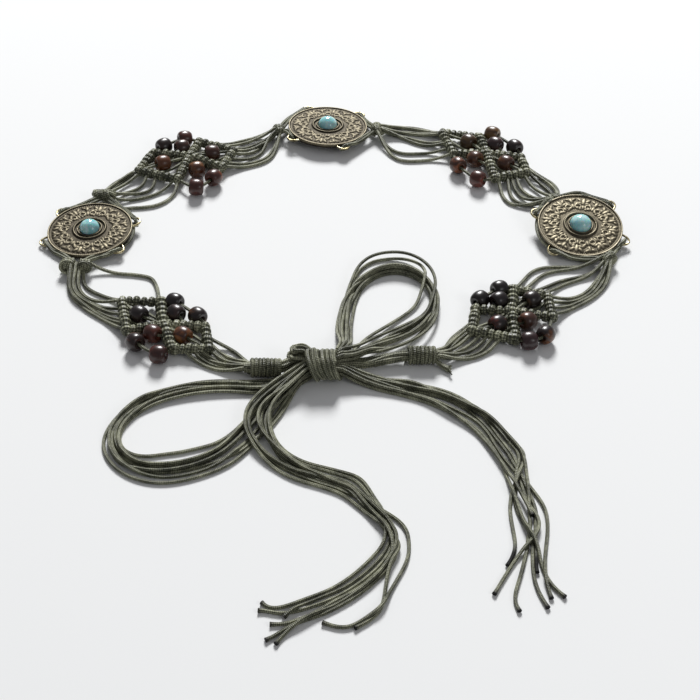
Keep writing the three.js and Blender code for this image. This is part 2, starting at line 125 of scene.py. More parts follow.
# bundles of the bow: rows of x, y, z, width and height of the bundle, in mm
bow = {
    "cordThickness": 1.8,
    "strands": 8,
    # the rows start and end inside the knot
    "bow_loop_right": [
        (-11, -19, 9.4, 4, 4), (-3.7, -17, 11, 6, 6), (5, -10, 10, 8, 6), (17, 1, 8, 12, 6),
        (31, 12, 6.5, 13, 6), (42, 27, 5, 8, 7), (45, 44, 4.4, 4.5, 7.5), (38.5, 59, 4.4, 4.4, 7.5),
        (25, 66, 4.4, 4.2, 7.5), (12, 60.5, 4.4, 4.4, 7.5), (2.5, 47, 4, 7, 6), (-1.6, 31, 4, 9, 5),
        (-2.8, 15, 5.4, 9.5, 5), (-2, 0, 8, 8, 5), (-3.4, -12, 10.4, 6, 5), (-11, -18, 10, 4, 4)],
    "bow_loop_left": [
        (-14, -21.5, 5, 4, 4), (-21.3, -22.5, 4, 6, 5), (-29, -27, 4, 7, 6), (-42, -31, 4, 9, 6),
        (-60, -30, 4, 10, 6.4), (-74, -30.5, 4, 11, 6.4), (-88, -34.5, 4, 10, 6.4),
        (-102, -42, 4, 8.5, 6.4), (-112, -54, 4, 7, 6.4), (-115.8, -68, 4, 7, 6.4),
        (-112, -81, 4, 7.5, 6.4), (-102.5, -89, 3.6, 10, 5.4), (-91, -91.5, 3.2, 14, 5),
        (-77, -89, 3.2, 15, 5), (-62, -80.5, 3.2, 15, 5), (-51, -65, 3.2, 14, 5),
        (-39, -43, 3.2, 12, 5), (-30, -30, 3.4, 8, 5), (-21.3, -24, 4, 5, 5), (-14, -22.5, 5, 4, 4)],
    "tie_end_left": [
        (-13, -22, 8.6, 5, 5), (-21.3, -23, 9.8, 7, 6), (-30, -31, 9.4, 9, 5), (-38, -39, 9, 11, 4.4),
        (-44, -48, 8.8, 12, 4.4), (-46, -59, 8.6, 13, 4.4), (-42, -71, 7, 13, 4.4),
        (-34, -83, 4.5, 13, 4.4), (-22, -92, 3.2, 14, 4.4), (-6, -98, 3, 15, 4.4),
        (6, -106, 3, 15, 4.4), (14, -117, 3, 14, 4.4)],
    "tie_end_right": [
        (-11, -22, 7, 5, 5), (-3.7, -23, 7, 6, 6), (7, -26, 5.5, 8, 5), (25, -31, 4, 14, 4.4),
        (46, -39, 3.2, 15, 4.4), (65, -55, 3, 15, 4.4), (76, -76, 3, 14, 4.4), (83, -98, 3, 13, 4.4)],
    # strands that leave their bundle: share of the way, sway to the right of it and lift, in mm
    "sways": {
        ("bow_loop_right", 0): ((0.05, 0, 0), (0.14, -4, 0), (0.25, -6.5, 0), (0.34, -7.5, 1),
                                (0.41, -6.5, 5),
                                (0.45, -1, 7.5), (0.5, 9.5, 5), (0.56, 14, 3), (0.62, 10, 3),
                                (0.68, 3.6, 1),
                                (0.75, 0, 0)),
        ("bow_loop_right", 3): ((0.38, 0, 0), (0.44, 4.6, 2), (0.5, 10.6, 3), (0.56, 13.4, 3),
                                (0.62, 9.8, 3),
                                (0.68, 3.4, 1), (0.75, 0, 0)),
        ("bow_loop_right", 6): ((0.06, 0, 0), (0.16, 3, 0), (0.27, 3, 0), (0.36, 1, 0), (0.45, 0, 0)),
        ("bow_loop_left", 0): ((0.46, 0, 0), (0.53, -3, 0), (0.6, -6, 0), (0.68, -5, 0), (0.76, 0, 0)),
        ("bow_loop_left", 7): ((0.3, 0, 0), (0.4, 1.5, 0), (0.48, 3, 0), (0.56, 2, 0), (0.66, 0, 0)),
        ("bow_loop_left", 6): ((0.7, 0, 0), (0.78, 3.5, 0), (0.86, 3, 0), (0.94, 0, 0)),
    },
    "sealedPoints": {("tie_end_right", 0): 9, ("tie_end_right", 4): 9},  # long black ends, 1.6 mm a point
    # where each strand of a tie end goes after the bundle, with the height of its place
    "tips_left": [
        [(17, -131, 4), (9, -149, 4), (-6, -165, 2), (-21, -173, 1.2), (-29, -177, 1), (-36, -178.5, 1),
         (-39, -174.5, 3)],
        [(19, -134, 2), (13.5, -152.5, 2), (-4, -170, 1), (-24.5, -180, 1), (-32, -181.3, 1),
         (-36, -178.8, 2.6), (-40.5, -179, 3.6)],
        [(20, -139, 4), (10, -160, 4), (-5, -174, 3), (-18, -183, 1), (-26, -187, 1), (-35, -187, 1.2)],
        [(21, -141, 2), (11, -162, 2), (-9, -179, 1), (-22, -185, 1), (-28, -189.5, 1), (-33, -194, 1),
         (-36.5, -196, 1.6)],
        [(21, -133, 5), (16, -153, 5), (4, -168, 4), (-10, -178, 1), (-22, -186, 2.6), (-29, -193, 1),
         (-32, -198, 1)],
        [(19, -128, 2), (15, -146, 2), (0, -163.8, 3), (-13, -171.6, 3), (-22, -177, 3), (-29, -183, 1)],
        [(23.5, -125, 3), (27, -138, 3), (26, -149, 3), (21, -161, 2.6), (16, -172, 2), (14, -178.5, 2),
         (4, -186.7, 1.2), (-3, -189.5, 1), (-12, -186, 1.4)],
        [(22, -138, 4), (18.5, -150, 4), (16, -163.5, 2.4), (14.5, -177, 1), (9, -184, 1), (2, -189, 1)],
    ],
    "tips_right": [
        [(75.5, -111, 3), (75, -127, 2), (75.7, -141, 1), (71.5, -152.5, 1)],
        [(83, -112, 2), (88, -126, 4), (84, -137, 4), (77.7, -144.5, 1.4), (71, -156, 1), (64, -169.5, 1)],
        [(84, -116, 4), (83, -130, 1), (81, -141, 1), (76.7, -158, 1), (73, -170, 1), (72.8, -176, 1.4),
         (74.5, -179.5, 2)],
        [(77, -108, 2), (80, -125, 2), (84, -139, 1), (82.4, -156, 1), (83.6, -167.5, 1),
         (87.2, -177.5, 1)],
        [(86, -112, 2), (85.5, -130, 4), (84.2, -142, 3.4), (83.6, -156.5, 1)],
        [(90, -112, 2), (91.5, -127, 1), (89.8, -139, 1), (87.6, -153, 3), (87.7, -162.5, 3),
         (89.2, -172, 2.2)],
        [(78, -112, 4), (80.5, -127, 4), (85, -139, 4), (86.6, -152, 1.2), (89.1, -163, 1),
         (95.3, -171.2, 1)],
        [(80.6, -108, 4.6), (84.7, -122, 5.6)],
    ],
}


def bundleStrands(name, tips=None, seed=1):
    rows = smoothLine(np.array(bow[name]) / 1000, 0.0016)
    count = len(rows)
    forward = np.gradient(rows[:, :3], axis=0)
    forward /= np.linalg.norm(forward, axis=1)[:, None]
    side = np.cross(forward, (0, 0, 1))
    side /= np.linalg.norm(side, axis=1)[:, None]
    up = np.cross(side, forward)
    rng = np.random.default_rng(seed)
    half = bow["cordThickness"] / 2000
    t = np.linspace(0, 1, count)
    fromKnot = t if tips is not None else np.minimum(t, 1 - t)
    spread = softStep(fromKnot * count * 1.6, 10, 44)
    packed = [(-0.95, -0.9), (-0.95, 0.9), (-0.5, 0), (0, -1), (0, 1), (0.5, 0), (0.95, -0.9), (0.95, 0.9)]
    level = rng.permutation(bow["strands"]) / 3.5 - 1
    flat = softStep(rows[:, 3] * 1000, 5, 9.5)
    lines = []
    for k in range(bow["strands"]):
        across = -1 + 2 * k / (bow["strands"] - 1)
        wide = np.clip(across + drift(rng, count, 0.8, 4), -1.1, 1.1)
        high = (level[k] + drift(rng, count, 0.6, 4)) * 1.2
        column, layer = (-0.66, 0.66)[k // 4], k % 4 / 1.5 - 1
        u = packed[k][0] * (1 - spread) + (wide * flat + column * (1 - flat)) * spread
        v = packed[k][1] * (1 - spread) + (high * flat + layer * (1 - flat)) * spread
        sways = np.array(bow["sways"].get((name, k), ((0, 0, 0), (1, 0, 0))))
        sway, lift = (np.interp(t, sways[:, 0], sways[:, j]) / 1000 for j in (1, 2))
        line = (rows[:, :3] + side * (u * (rows[:, 3] / 2 - half) + sway)[:, None]
                + up * (v * (rows[:, 4] / 2 - half))[:, None] + np.outer(lift, (0, 0, 1)))
        if tips:
            tail = np.array(tips[k]) / 1000
            line = smoothLine(np.vstack([line[:-8:6], tail]), 0.0016)
        else:
            line = smoothLine(line[::5], 0.0016)
        for turn in range(12):  # waxed cord takes no sharp corner
            line[1:-1] += ((line[:-2] + line[2:]) / 2 - line[1:-1]) * 0.5
        lines.append(line)
    return lines


groups = {
    "bow_loop_left": bundleStrands("bow_loop_left", None, 3),
    "bow_loop_right": bundleStrands("bow_loop_right", None, 5),
    "tie_end_left": bundleStrands("tie_end_left", bow["tips_left"], 7),
    "tie_end_right": bundleStrands("tie_end_right", bow["tips_right"], 11),
}


def settle(lines, held, rounds=150, gap=0.00184, solids=(), fall=0.00003):
    # cords that lie on the table and on each other: pushed apart where they touch, drawn down
    # by their weight and kept smooth
    points = np.vstack(lines)
    start = points.copy()
    owner = np.repeat(np.arange(len(lines)), [len(line) for line in lines])
    within = np.concatenate([np.arange(len(line)) for line in lines])
    free = np.ones(len(points))
    offset = 0
    for line, (first, last) in zip(lines, held):
        ramp = np.clip((np.arange(len(line)) - first) / 6, 0, 1)
        if last:
            ramp = np.minimum(ramp, np.clip((len(line) - 1 - last - np.arange(len(line))) / 6, 0, 1))
        free[offset:offset + len(line)] = ramp
        offset += len(line)
    inner = np.flatnonzero((owner[1:-1] == owner[:-2]) & (owner[1:-1] == owner[2:])) + 1
    pairs = None
    for turn in range(rounds):
        if turn % 12 == 0:
            found = []
            for first in range(0, len(points), 1500):
                block = points[first:first + 1500]
                gapTo = ((block[:, None, :] - points[None, :, :]) ** 2).sum(2)
                a, b = np.nonzero(gapTo < 0.0045 ** 2)
                a = a + first
                keep = (a < b) & ((owner[a] != owner[b]) | (np.abs(within[a] - within[b]) > 4))
                found.append(np.column_stack([a[keep], b[keep]]))
            pairs = np.vstack(found)
        points[:, 2] -= fall * (1 if turn < rounds * 0.7 else 0.4) * free
        a, b = pairs[:, 0], pairs[:, 1]
        apart = points[a] - points[b]
        distance = np.maximum(np.linalg.norm(apart, axis=1), 1e-6)
        near = distance < gap
        away = apart[near] * (0.5, 0.5, 1)  # a cord rides up on another sooner than it moves aside
        away /= np.maximum(np.linalg.norm(away, axis=1), 1e-6)[:, None]
        push = away * ((gap - distance[near]) * 0.4)[:, None]
        shove = np.zeros_like(points)
        weight = np.zeros(len(points))
        np.add.at(shove, a[near], push)
        np.add.at(shove, b[near], -push)
        np.add.at(weight, a[near], 1)
        np.add.at(weight, b[near], 1)
        points += shove / np.maximum(1, weight * 0.6)[:, None] * free[:, None]
        for low, high, radius in solids:
            axis = high - low
            along = np.clip(((points - low) @ axis) / (axis @ axis), 0, 1)
            away = points - (low + along[:, None] * axis)
            distance = np.maximum(np.linalg.norm(away, axis=1), 1e-6)
            inside = (distance < radius + gap / 2) & (free > 0)
            points[inside] += away[inside] / distance[inside, None] * (
                (radius + gap / 2 - distance[inside]) * 0.5 * free[inside])[:, None]
        moved = points - start
        middle = (moved[inner - 1] + moved[inner + 1]) / 2
        points[inner, :2] += ((middle - moved[inner])[:, :2] * 0.5 - moved[inner, :2] * 0.03) * free[inner,
                                                                                                     None]
        level = (points[inner - 1, 2] + points[inner + 1, 2]) / 2 - points[inner, 2]
        points[inner, 2] += level * 0.5 * free[inner]
        points[:, 2] = np.where(free > 0, np.maximum(points[:, 2], gap / 2), points[:, 2])
    out, offset = [], 0
    for line in lines:
        out.append(points[offset:offset + len(line)] + 0)
        offset += len(line)
    return out


order = [(name, k) for name in groups for k in range(bow["strands"])]
lines = [groups[name][k] for name, k in order]
held = [(5, 5 if "loop" in name else 0) for name, k in order]
capsules = [
    (np.array([28.4, -10, 5]) / 1000, np.array([44.6, -10, 5]) / 1000, 0.0049),
    (np.array([-52, -19.8, 5.1]) / 1000, np.array([-34.4, -20, 5.1]) / 1000, 0.005),
    (np.array([28.4, -10, 5]) / 1000, np.array([8, -14, 4]) / 1000, 0.0036),
    (np.array([-34, -20, 5.1]) / 1000, np.array([-24, -16, 6.6]) / 1000, 0.0036),
]
settled = settle(lines, held, 170, solids=capsules)
for (name, k), line in zip(order, settled):
    groups[name][k] = line + gridShift
print("cords settled", len(settled))


# cord sweep: round tube along every line, with its place along and around kept for the braid
def makeSweepTree():
    tree = bpy.data.node_groups.new("cordSweep", "GeometryNodeTree")
    face = tree.interface
    face.new_socket("Geometry", in_out="INPUT", socket_type="NodeSocketGeometry")
    face.new_socket("Sides", in_out="INPUT", socket_type="NodeSocketInt").default_value = 10
    face.new_socket("Finish", in_out="INPUT", socket_type="NodeSocketMaterial")
    face.new_socket("Geometry", in_out="OUTPUT", socket_type="NodeSocketGeometry")
    given = addNode(tree, "NodeGroupInput")
    line = addNode(tree, "GeometryNodeMeshToCurve", links={"Mesh": given.outputs["Geometry"]})
    thick = addNode(tree, "GeometryNodeInputNamedAttribute", {"Name": "thick"}, data_type="FLOAT")
    sized = addNode(tree, "GeometryNodeSetCurveRadius",
                    links={"Curve": line.outputs[0], "Radius": thick.outputs["Attribute"]})
    run = addNode(tree, "GeometryNodeSplineParameter")
    marked = addNode(tree, "GeometryNodeStoreNamedAttribute", {"Name": "along"},
                     {"Geometry": sized.outputs[0], "Value": run.outputs["Length"]},
                     data_type="FLOAT", domain="POINT")
    ring = addNode(tree, "GeometryNodeCurvePrimitiveCircle", {"Radius": 1},
                   {"Resolution": given.outputs["Sides"]}, mode="RADIUS")
    where = addNode(tree, "GeometryNodeInputPosition")
    ringMarked = addNode(tree, "GeometryNodeStoreNamedAttribute", {"Name": "ringSide"},
                         {"Geometry": ring.outputs[0], "Value": where.outputs[0]},
                         data_type="FLOAT_VECTOR", domain="POINT")
    swept = addNode(tree, "GeometryNodeCurveToMesh", {"Fill Caps": True},
                    {"Curve": marked.outputs[0], "Profile Curve": ringMarked.outputs[0]})
    if "Scale" in swept.inputs:
        tree.links.new(thick.outputs["Attribute"], swept.inputs["Scale"])
    smooth = addNode(tree, "GeometryNodeSetShadeSmooth", links={"Geometry": swept.outputs[0]})
    real = addNode(tree, "GeometryNodeRealizeInstances", links={"Geometry": smooth.outputs[0]})
    done = addNode(tree, "GeometryNodeSetMaterial",
                   links={"Geometry": real.outputs[0], "Material": given.outputs["Finish"]})
    addNode(tree, "NodeGroupOutput", links={"Geometry": done.outputs[0]})
    return tree


sweepTree = makeSweepTree()


def runTree(name, tree, mesh, settings):
    # the tree's result as a plain mesh at the origin
    maker = bpy.data.objects.new(name + "Maker", mesh)
    scene.collection.objects.link(maker)
    modifier = maker.modifiers.new("make", "NODES")
    modifier.node_group = tree
    for item in tree.interface.items_tree:
        if item.item_type == "SOCKET" and item.in_out == "INPUT" and item.name in settings:
            modifier[item.identifier] = settings[item.name]
    depsgraph = bpy.context.evaluated_depsgraph_get()
    plain = bpy.data.meshes.new_from_object(maker.evaluated_get(depsgraph), depsgraph=depsgraph)
    bpy.data.objects.remove(maker)
    plain.name = name
    piece = bpy.data.objects.new(name, plain)
    scene.collection.objects.link(piece)
    return piece


def sweepCords(name, lines, thickness, finish, sides=10, strandIds=None, burntPoints=0):
    vertices, edges, thick, strand, burnt = [], [], [], [], []
    for k, line in enumerate(lines):
        first = len(vertices)
        vertices += [tuple(p) for p in line]
        edges += [(first + j, first + j + 1) for j in range(len(line) - 1)]
        size = thickness[k] if hasattr(thickness, "__len__") else thickness
        size = np.array(np.broadcast_to(np.asarray(size) / 2, len(line)), float)
        if burntPoints:
            size[-2:] *= (1.12, 1.3)
        thick += list(size)
        strand += [(strandIds[k] if strandIds else k) * 0.37] * len(line)
        burnt += [0.0] * (len(line) - burntPoints) + list(np.clip(np.linspace(0.35, 2.2, burntPoints), 0,
                                                                  1))
    mesh = bpy.data.meshes.new(name + "Lines")
    mesh.from_pydata(vertices, edges, [])
    for key, values in (("thick", thick), ("strand", strand), ("burnt", burnt)):
        mesh.attributes.new(key, "FLOAT", "POINT").data.foreach_set("value", values)
    return runTree(name, sweepTree, mesh, {"Sides": sides, "Finish": finish})


# the light colour is partly a painted highlight of the wax, the dark one partly painted shade between the
# plait's strands
cordFinish = {"dark": "#11120c", "middle": "#404231", "light": "#b6b79b", "sealed": "#0d0c0b",
              "braidPitch": 1.7, "braidStrands": 3}


def startMaterial(name):
    material = bpy.data.materials.new(name)
    material.use_nodes = True
    return material, material.node_tree, material.node_tree.nodes["Principled BSDF"]


def makeCordMaterial():
    # waxed cotton cord, plaited round: dull olive with a fine herringbone of light and dark flecks; the
    # light flecks on the plait's ridges are partly a painted highlight of the wax, the dark ones partly
    # painted shade in its grooves.
    # The real plait repeats every 0.9 mm; it is drawn at 1.7 mm so that it shows.
    material, tree, shader = startMaterial("waxedCottonCordPlaited")
    along = addNode(tree, "ShaderNodeAttribute", attribute_name="along")
    ring = addNode(tree, "ShaderNodeAttribute", attribute_name="ringSide")
    strand = addNode(tree, "ShaderNodeAttribute", attribute_name="strand")
    parts = addNode(tree, "ShaderNodeSeparateXYZ", links={0: ring.outputs["Vector"]})
    angle = addNode(tree, "ShaderNodeMath", operation="ARCTAN2",
                    links={0: parts.outputs[1], 1: parts.outputs[0]})
    turns = addNode(tree, "ShaderNodeMath", {1: cordFinish["braidStrands"]}, {0: angle.outputs[0]},
                    operation="MULTIPLY")
    run = addNode(tree, "ShaderNodeMath", {1: 2 * math.pi / (cordFinish["braidPitch"] / 1000)},
                  {0: along.outputs["Fac"]}, operation="MULTIPLY")
    waves = []
    for operation in ("ADD", "SUBTRACT"):
        phase = addNode(tree, "ShaderNodeMath", operation=operation,
                        links={0: run.outputs[0], 1: turns.outputs[0]})
        waves.append(addNode(tree, "ShaderNodeMath", operation="SINE", links={0: phase.outputs[0]}))
    plait = addNode(tree, "ShaderNodeMath", operation="MULTIPLY",
                    links={0: waves[0].outputs[0], 1: waves[1].outputs[0]})
    spot = addNode(tree, "ShaderNodeTexCoord")
    blotch = addNode(tree, "ShaderNodeTexNoise", {"Scale": patternScale(7.692), "Detail": 3},
                     {"Vector": spot.outputs["Object"]})
    fuzz = addNode(tree, "ShaderNodeTexNoise", {"Scale": patternScale(0.7692), "Detail": 3},
                   {"Vector": spot.outputs["Object"]})
    strandTone = addNode(tree, "ShaderNodeTexWhiteNoise", links={"W": strand.outputs["Fac"]},
                         noise_dimensions="1D")
    plaitShare = addNode(tree, "ShaderNodeMath", {1: 0.16, 2: 0.015}, {0: plait.outputs[0]},
                         operation="MULTIPLY_ADD")
    blotchShare = addNode(tree, "ShaderNodeMath", {1: 0.5},
                          {0: blotch.outputs[0], 2: plaitShare.outputs[0]},
                          operation="MULTIPLY_ADD")
    fuzzShare = addNode(tree, "ShaderNodeMath", {1: 0.42}, {0: fuzz.outputs[0], 2: blotchShare.outputs[0]},
                        operation="MULTIPLY_ADD")
    tone = addNode(tree, "ShaderNodeMath", {1: 0.16}, {0: strandTone.outputs[0], 2: fuzzShare.outputs[0]},
                   operation="MULTIPLY_ADD")
    # plait and fuzz, which also raise the bump, lighten the colour: painted highlight on their ridges,
    # painted shade in their grooves
    tint = addNode(tree, "ShaderNodeValToRGB", links={"Fac": tone.outputs[0]},
                   stops=[(0.18, cordFinish["dark"]), (0.5, cordFinish["middle"]),
                          (0.82, cordFinish["light"])])
    burnt = addNode(tree, "ShaderNodeAttribute", attribute_name="burnt")
    sealed = addNode(tree, "ShaderNodeMix", {"B": linear(cordFinish["sealed"])},
                     {"Factor": burnt.outputs["Fac"], "A": tint.outputs[0]}, data_type="RGBA")
    rough = addNode(tree, "ShaderNodeMapRange", {"To Min": 0.32, "To Max": 0.6}, {"Value": fuzz.outputs[0]})
    lift = addNode(tree, "ShaderNodeMath", {1: 0.4}, {0: fuzz.outputs[0], 2: plait.outputs[0]},
                   operation="MULTIPLY_ADD")
    bump = addNode(tree, "ShaderNodeBump", {"Strength": 0.9, "Distance": 0.00018},
                   {"Height": lift.outputs[0]})
    tree.links.new(sealed.outputs["Result"], shader.inputs["Base Color"])
    soot = addNode(tree, "ShaderNodeMath", {1: 0.85}, {0: burnt.outputs["Fac"]}, operation="MULTIPLY")
    dull = addNode(tree, "ShaderNodeMath", operation="MAXIMUM",
                   links={0: rough.outputs[0], 1: soot.outputs[0]})
    tree.links.new(dull.outputs[0], shader.inputs["Roughness"])
    tree.links.new(bump.outputs[0], shader.inputs["Normal"])
    shader.inputs["Specular IOR Level"].default_value = 0.46
    return material


cordMaterial = makeCordMaterial()

for name, strands in groups.items():
    isLoop = "loop" in name
    for k, line in enumerate(strands):
        piece = sweepCords(f"{name}_cord_{k + 1}", [line], bow["cordThickness"] / 1000, cordMaterial,
                           10, [k + len(name)], 0 if isLoop else bow["sealedPoints"].get((name, k), 2))
        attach(piece, "root")
        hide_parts(name)
print("bow cords made")

# knotted panels: corners and beads in mm, as each panel lies in the photo
panels = {
    "barHeight": 4.0, "cordThickness": 1.85, "hitchPitch": 3.4, "hitchRadius": 1.5, "hitchCord": 1.5,
    "coreThickness": 3.0, "besideThickness": 1.8,  # the core of a bar, and the cords beside a bead
    "stoutBars": 1.16,  # how much stouter the first two bars are knotted
    "hitchTurns": 1.04, "hitchRise": 0.7, "pointsPerTurn": 24,
    "slantFrom": (-0.12, -0.05, -0.3), "slantTo": (0.12, 0.3, 0.3),
    "beadLift": {"cell": 5.2, "outer": 4.98},
    "front_left": {
        "start": (-122, 36), "farA": (-101, 35), "nearA": (-117, 11), "cross": (-98, 16),
        "farB": (-76, 14), "nearB": (-92, -4), "end": (-73, -4),
        "beads": {"cellA": (-111.5, 23), "cellB": (-87, 5.5), "nearInner": (-103, 7),
                  "farInner": (-92, 24), "nearOuterA": (-111.5, 0.5), "nearOuterB": (-98.5, -9.5),
                  "farOuterA": (-93.5, 34), "farOuterB": (-80.5, 22)}},
    "back_right": {
        "start": (56, 201), "farA": (78, 196), "nearA": (62, 178), "cross": (82, 178),
        "farB": (102, 174), "nearB": (85, 152), "end": (104, 158),
        "beads": {"cellA": (71.5, 189), "cellB": (92.5, 166), "nearInner": (74.5, 170.5),
                  "farInner": (87.5, 186), "nearOuterA": (64, 164.5), "nearOuterB": (75, 150),
                  "farOuterA": (86.5, 198), "farOuterB": (99, 183.5)}},
    "back_left": {
        "start": (-125, 160), "farA": (-118, 178), "nearA": (-101, 151), "cross": (-96, 175),
        "farB": (-91, 191), "nearB": (-76, 163), "end": (-70, 181),
        "beads": {"cellA": (-111, 166), "cellB": (-82.5, 177), "nearInner": (-90.5, 159.5),
                  "farInner": (-101, 183), "nearOuterA": (-89.5, 141.5), "nearOuterB": (-80, 151.5),
                  "farOuterA": (-112, 185), "farOuterB": (-100, 193)}},
    "front_right": {
        "start": (106, 40), "farA": (88, 46), "nearA": (107, 22), "cross": (86, 27),
        "farB": (67, 29), "nearB": (86, 4), "end": (64, 11),
        "beads": {"cellA": (97, 35.5), "cellB": (77.5, 15), "nearInner": (93.5, 17.5),
                  "farInner": (79.5, 35), "nearOuterA": (102, 6.5), "nearOuterB": (93, 1.5),
                  "farOuterA": (80.5, 45), "farOuterB": (69.5, 36)}},
    "threads": [(("start",), ("cellA",), ("cross",)), (("cross",), ("cellB",), ("end",)),
                (("nearA", "cross"), ("nearInner",), ("cross", "nearB")),
                (("farA", "cross"), ("farInner",), ("cross", "farB")),
                (("nearA",), ("nearOuterA", "nearOuterB"), ("nearB",)),
                (("farA",), ("farOuterA", "farOuterB"), ("farB",))],
    "bars": [("farA", "cross", 0, 0), ("cross", "nearB", 0, 0), ("start", "farA", 0, 0.06),
             ("start", "nearA", 0.04, 0), ("nearA", "cross", 0, 0.12), ("cross", "farB", 0.12, 0),
             ("farB", "end", 0, 0), ("nearB", "end", 0.1, 0)],
}
panelNames = ("front_left", "back_left", "back_right", "front_right")


def corner(panel, names):
    spots = [np.array([*panels[panel][n], panels["barHeight"]]) for n in names]
    return sum(spots) / len(spots)


def beadSpots(panel, thread):
    stops = [corner(panel, thread[0])]
    for name in thread[1]:
        lift = panels["beadLift"]["outer" if "Outer" in name else "cell"]
        stops.append(np.array([*panels[panel]["beads"][name], lift]))
    stops.append(corner(panel, thread[2]))
    spots = []
    for k, name in enumerate(thread[1]):
        along = stops[k + 2] - stops[k]
        spots.append((name, stops[k + 1], along / np.linalg.norm(along)))
    return stops, spots


def makeHitchTree():
    tree = bpy.data.node_groups.new("hitchRow", "GeometryNodeTree")
    face = tree.interface
    face.new_socket("Geometry", in_out="INPUT", socket_type="NodeSocketGeometry")
    for name, value in (("Pitch", 0.0029), ("Turn Radius", 0.00135), ("Cord Radius", 0.001),
                        ("Widening", 1.2), ("Unevenness", 0.1)):
        face.new_socket(name, in_out="INPUT", socket_type="NodeSocketFloat").default_value = value
    face.new_socket("Seed", in_out="INPUT", socket_type="NodeSocketInt").default_value = 4
    face.new_socket("Finish", in_out="INPUT", socket_type="NodeSocketMaterial")
    face.new_socket("Geometry", in_out="OUTPUT", socket_type="NodeSocketGeometry")
    given = addNode(tree, "NodeGroupInput")
    bars = addNode(tree, "GeometryNodeMeshToCurve", links={"Mesh": given.outputs["Geometry"]})
    stops = addNode(tree, "GeometryNodeCurveToPoints", mode="LENGTH",
                    links={"Curve": bars.outputs[0], "Length": given.outputs["Pitch"]})
    facing = addNode(tree, "FunctionNodeAlignRotationToVector", axis="Z",
                     links={"Vector": stops.outputs["Tangent"]})
    level = addNode(tree, "FunctionNodeAlignRotationToVector", {"Vector": (0, 0, -1)},
                    {"Rotation": facing.outputs[0]}, axis="X", pivot_axis="Z")
    slant = addNode(tree, "FunctionNodeRandomValue", data_type="FLOAT_VECTOR",
                    values={0: panels["slantFrom"], 1: panels["slantTo"]},
                    links={"Seed": given.outputs["Seed"]})
    tilt = addNode(tree, "FunctionNodeRotateRotation", rotation_space="LOCAL",
                   links={"Rotation": level.outputs[0], "Rotate By": slant.outputs[0]})
    coil = addNode(tree, "GeometryNodeCurveSpiral",
                   {"Resolution": panels["pointsPerTurn"], "Rotations": panels["hitchTurns"],
                    "Height": panels["hitchRise"] / 1000},
                   {"Start Radius": given.outputs["Turn Radius"],
                    "End Radius": given.outputs["Turn Radius"]})
    sink = addNode(tree, "GeometryNodeSetPosition", {"Offset": (0, 0, -panels["hitchRise"] / 2000)},
                   {"Geometry": coil.outputs[0]})
    run = addNode(tree, "GeometryNodeSplineParameter")
    marked = addNode(tree, "GeometryNodeStoreNamedAttribute", {"Name": "along"},
                     {"Geometry": sink.outputs[0], "Value": run.outputs["Length"]},
                     data_type="FLOAT", domain="POINT")
    ring = addNode(tree, "GeometryNodeCurvePrimitiveCircle", {"Radius": 1, "Resolution": 10}, mode="RADIUS")
    where = addNode(tree, "GeometryNodeInputPosition")
    ringMarked = addNode(tree, "GeometryNodeStoreNamedAttribute", {"Name": "ringSide"},
                         {"Geometry": ring.outputs[0], "Value": where.outputs[0]},
                         data_type="FLOAT_VECTOR", domain="POINT")
    thin = addNode(tree, "GeometryNodeSetCurveRadius",
                   links={"Curve": marked.outputs[0], "Radius": given.outputs["Cord Radius"]})
    swept = addNode(tree, "GeometryNodeCurveToMesh", {"Fill Caps": True},
                    {"Curve": thin.outputs[0], "Profile Curve": ringMarked.outputs[0]})
    if "Scale" in swept.inputs:
        tree.links.new(given.outputs["Cord Radius"], swept.inputs["Scale"])
    smooth = addNode(tree, "GeometryNodeSetShadeSmooth", links={"Geometry": swept.outputs[0]})
    low = addNode(tree, "ShaderNodeMath", {0: 1.0}, operation="SUBTRACT",
                  links={1: given.outputs["Unevenness"]})
    high = addNode(tree, "ShaderNodeMath", {0: 1.0}, operation="ADD",
                   links={1: given.outputs["Unevenness"]})
    spread = addNode(tree, "FunctionNodeRandomValue", data_type="FLOAT",
                     links={2: low.outputs[0], 3: high.outputs[0], "Seed": given.outputs["Seed"]})
    stretch = addNode(tree, "ShaderNodeMath", operation="MULTIPLY",
                      links={0: spread.outputs[1], 1: given.outputs["Widening"]})
    stout = addNode(tree, "GeometryNodeInputNamedAttribute", {"Name": "stout"}, data_type="FLOAT")
    roundSize = addNode(tree, "ShaderNodeMath", operation="MULTIPLY",
                        links={0: spread.outputs[1], 1: stout.outputs["Attribute"]})
    size = addNode(tree, "ShaderNodeCombineXYZ",
                   links={"X": roundSize.outputs[0], "Y": roundSize.outputs[0], "Z": stretch.outputs[0]})
    placed = addNode(tree, "GeometryNodeInstanceOnPoints",
                     links={"Points": stops.outputs[0], "Instance": smooth.outputs[0],
                            "Rotation": tilt.outputs[0], "Scale": size.outputs[0]})
    tone = addNode(tree, "FunctionNodeRandomValue", {2: 0.0, 3: 9.0}, {"Seed": given.outputs["Seed"]},
                   data_type="FLOAT")
    toned = addNode(tree, "GeometryNodeStoreNamedAttribute", {"Name": "strand"},
                    {"Geometry": placed.outputs[0], "Value": tone.outputs[1]},
                    data_type="FLOAT", domain="INSTANCE")
    real = addNode(tree, "GeometryNodeRealizeInstances", links={"Geometry": toned.outputs[0]})
    done = addNode(tree, "GeometryNodeSetMaterial",
                   links={"Geometry": real.outputs[0], "Material": given.outputs["Finish"]})
    addNode(tree, "NodeGroupOutput", links={"Geometry": done.outputs[0]})
    return tree


hitchTree = makeHitchTree()


def finishPiece(piece, slot, *nodes):
    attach(piece, "root")
    if nodes:
        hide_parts(*nodes)
    return piece


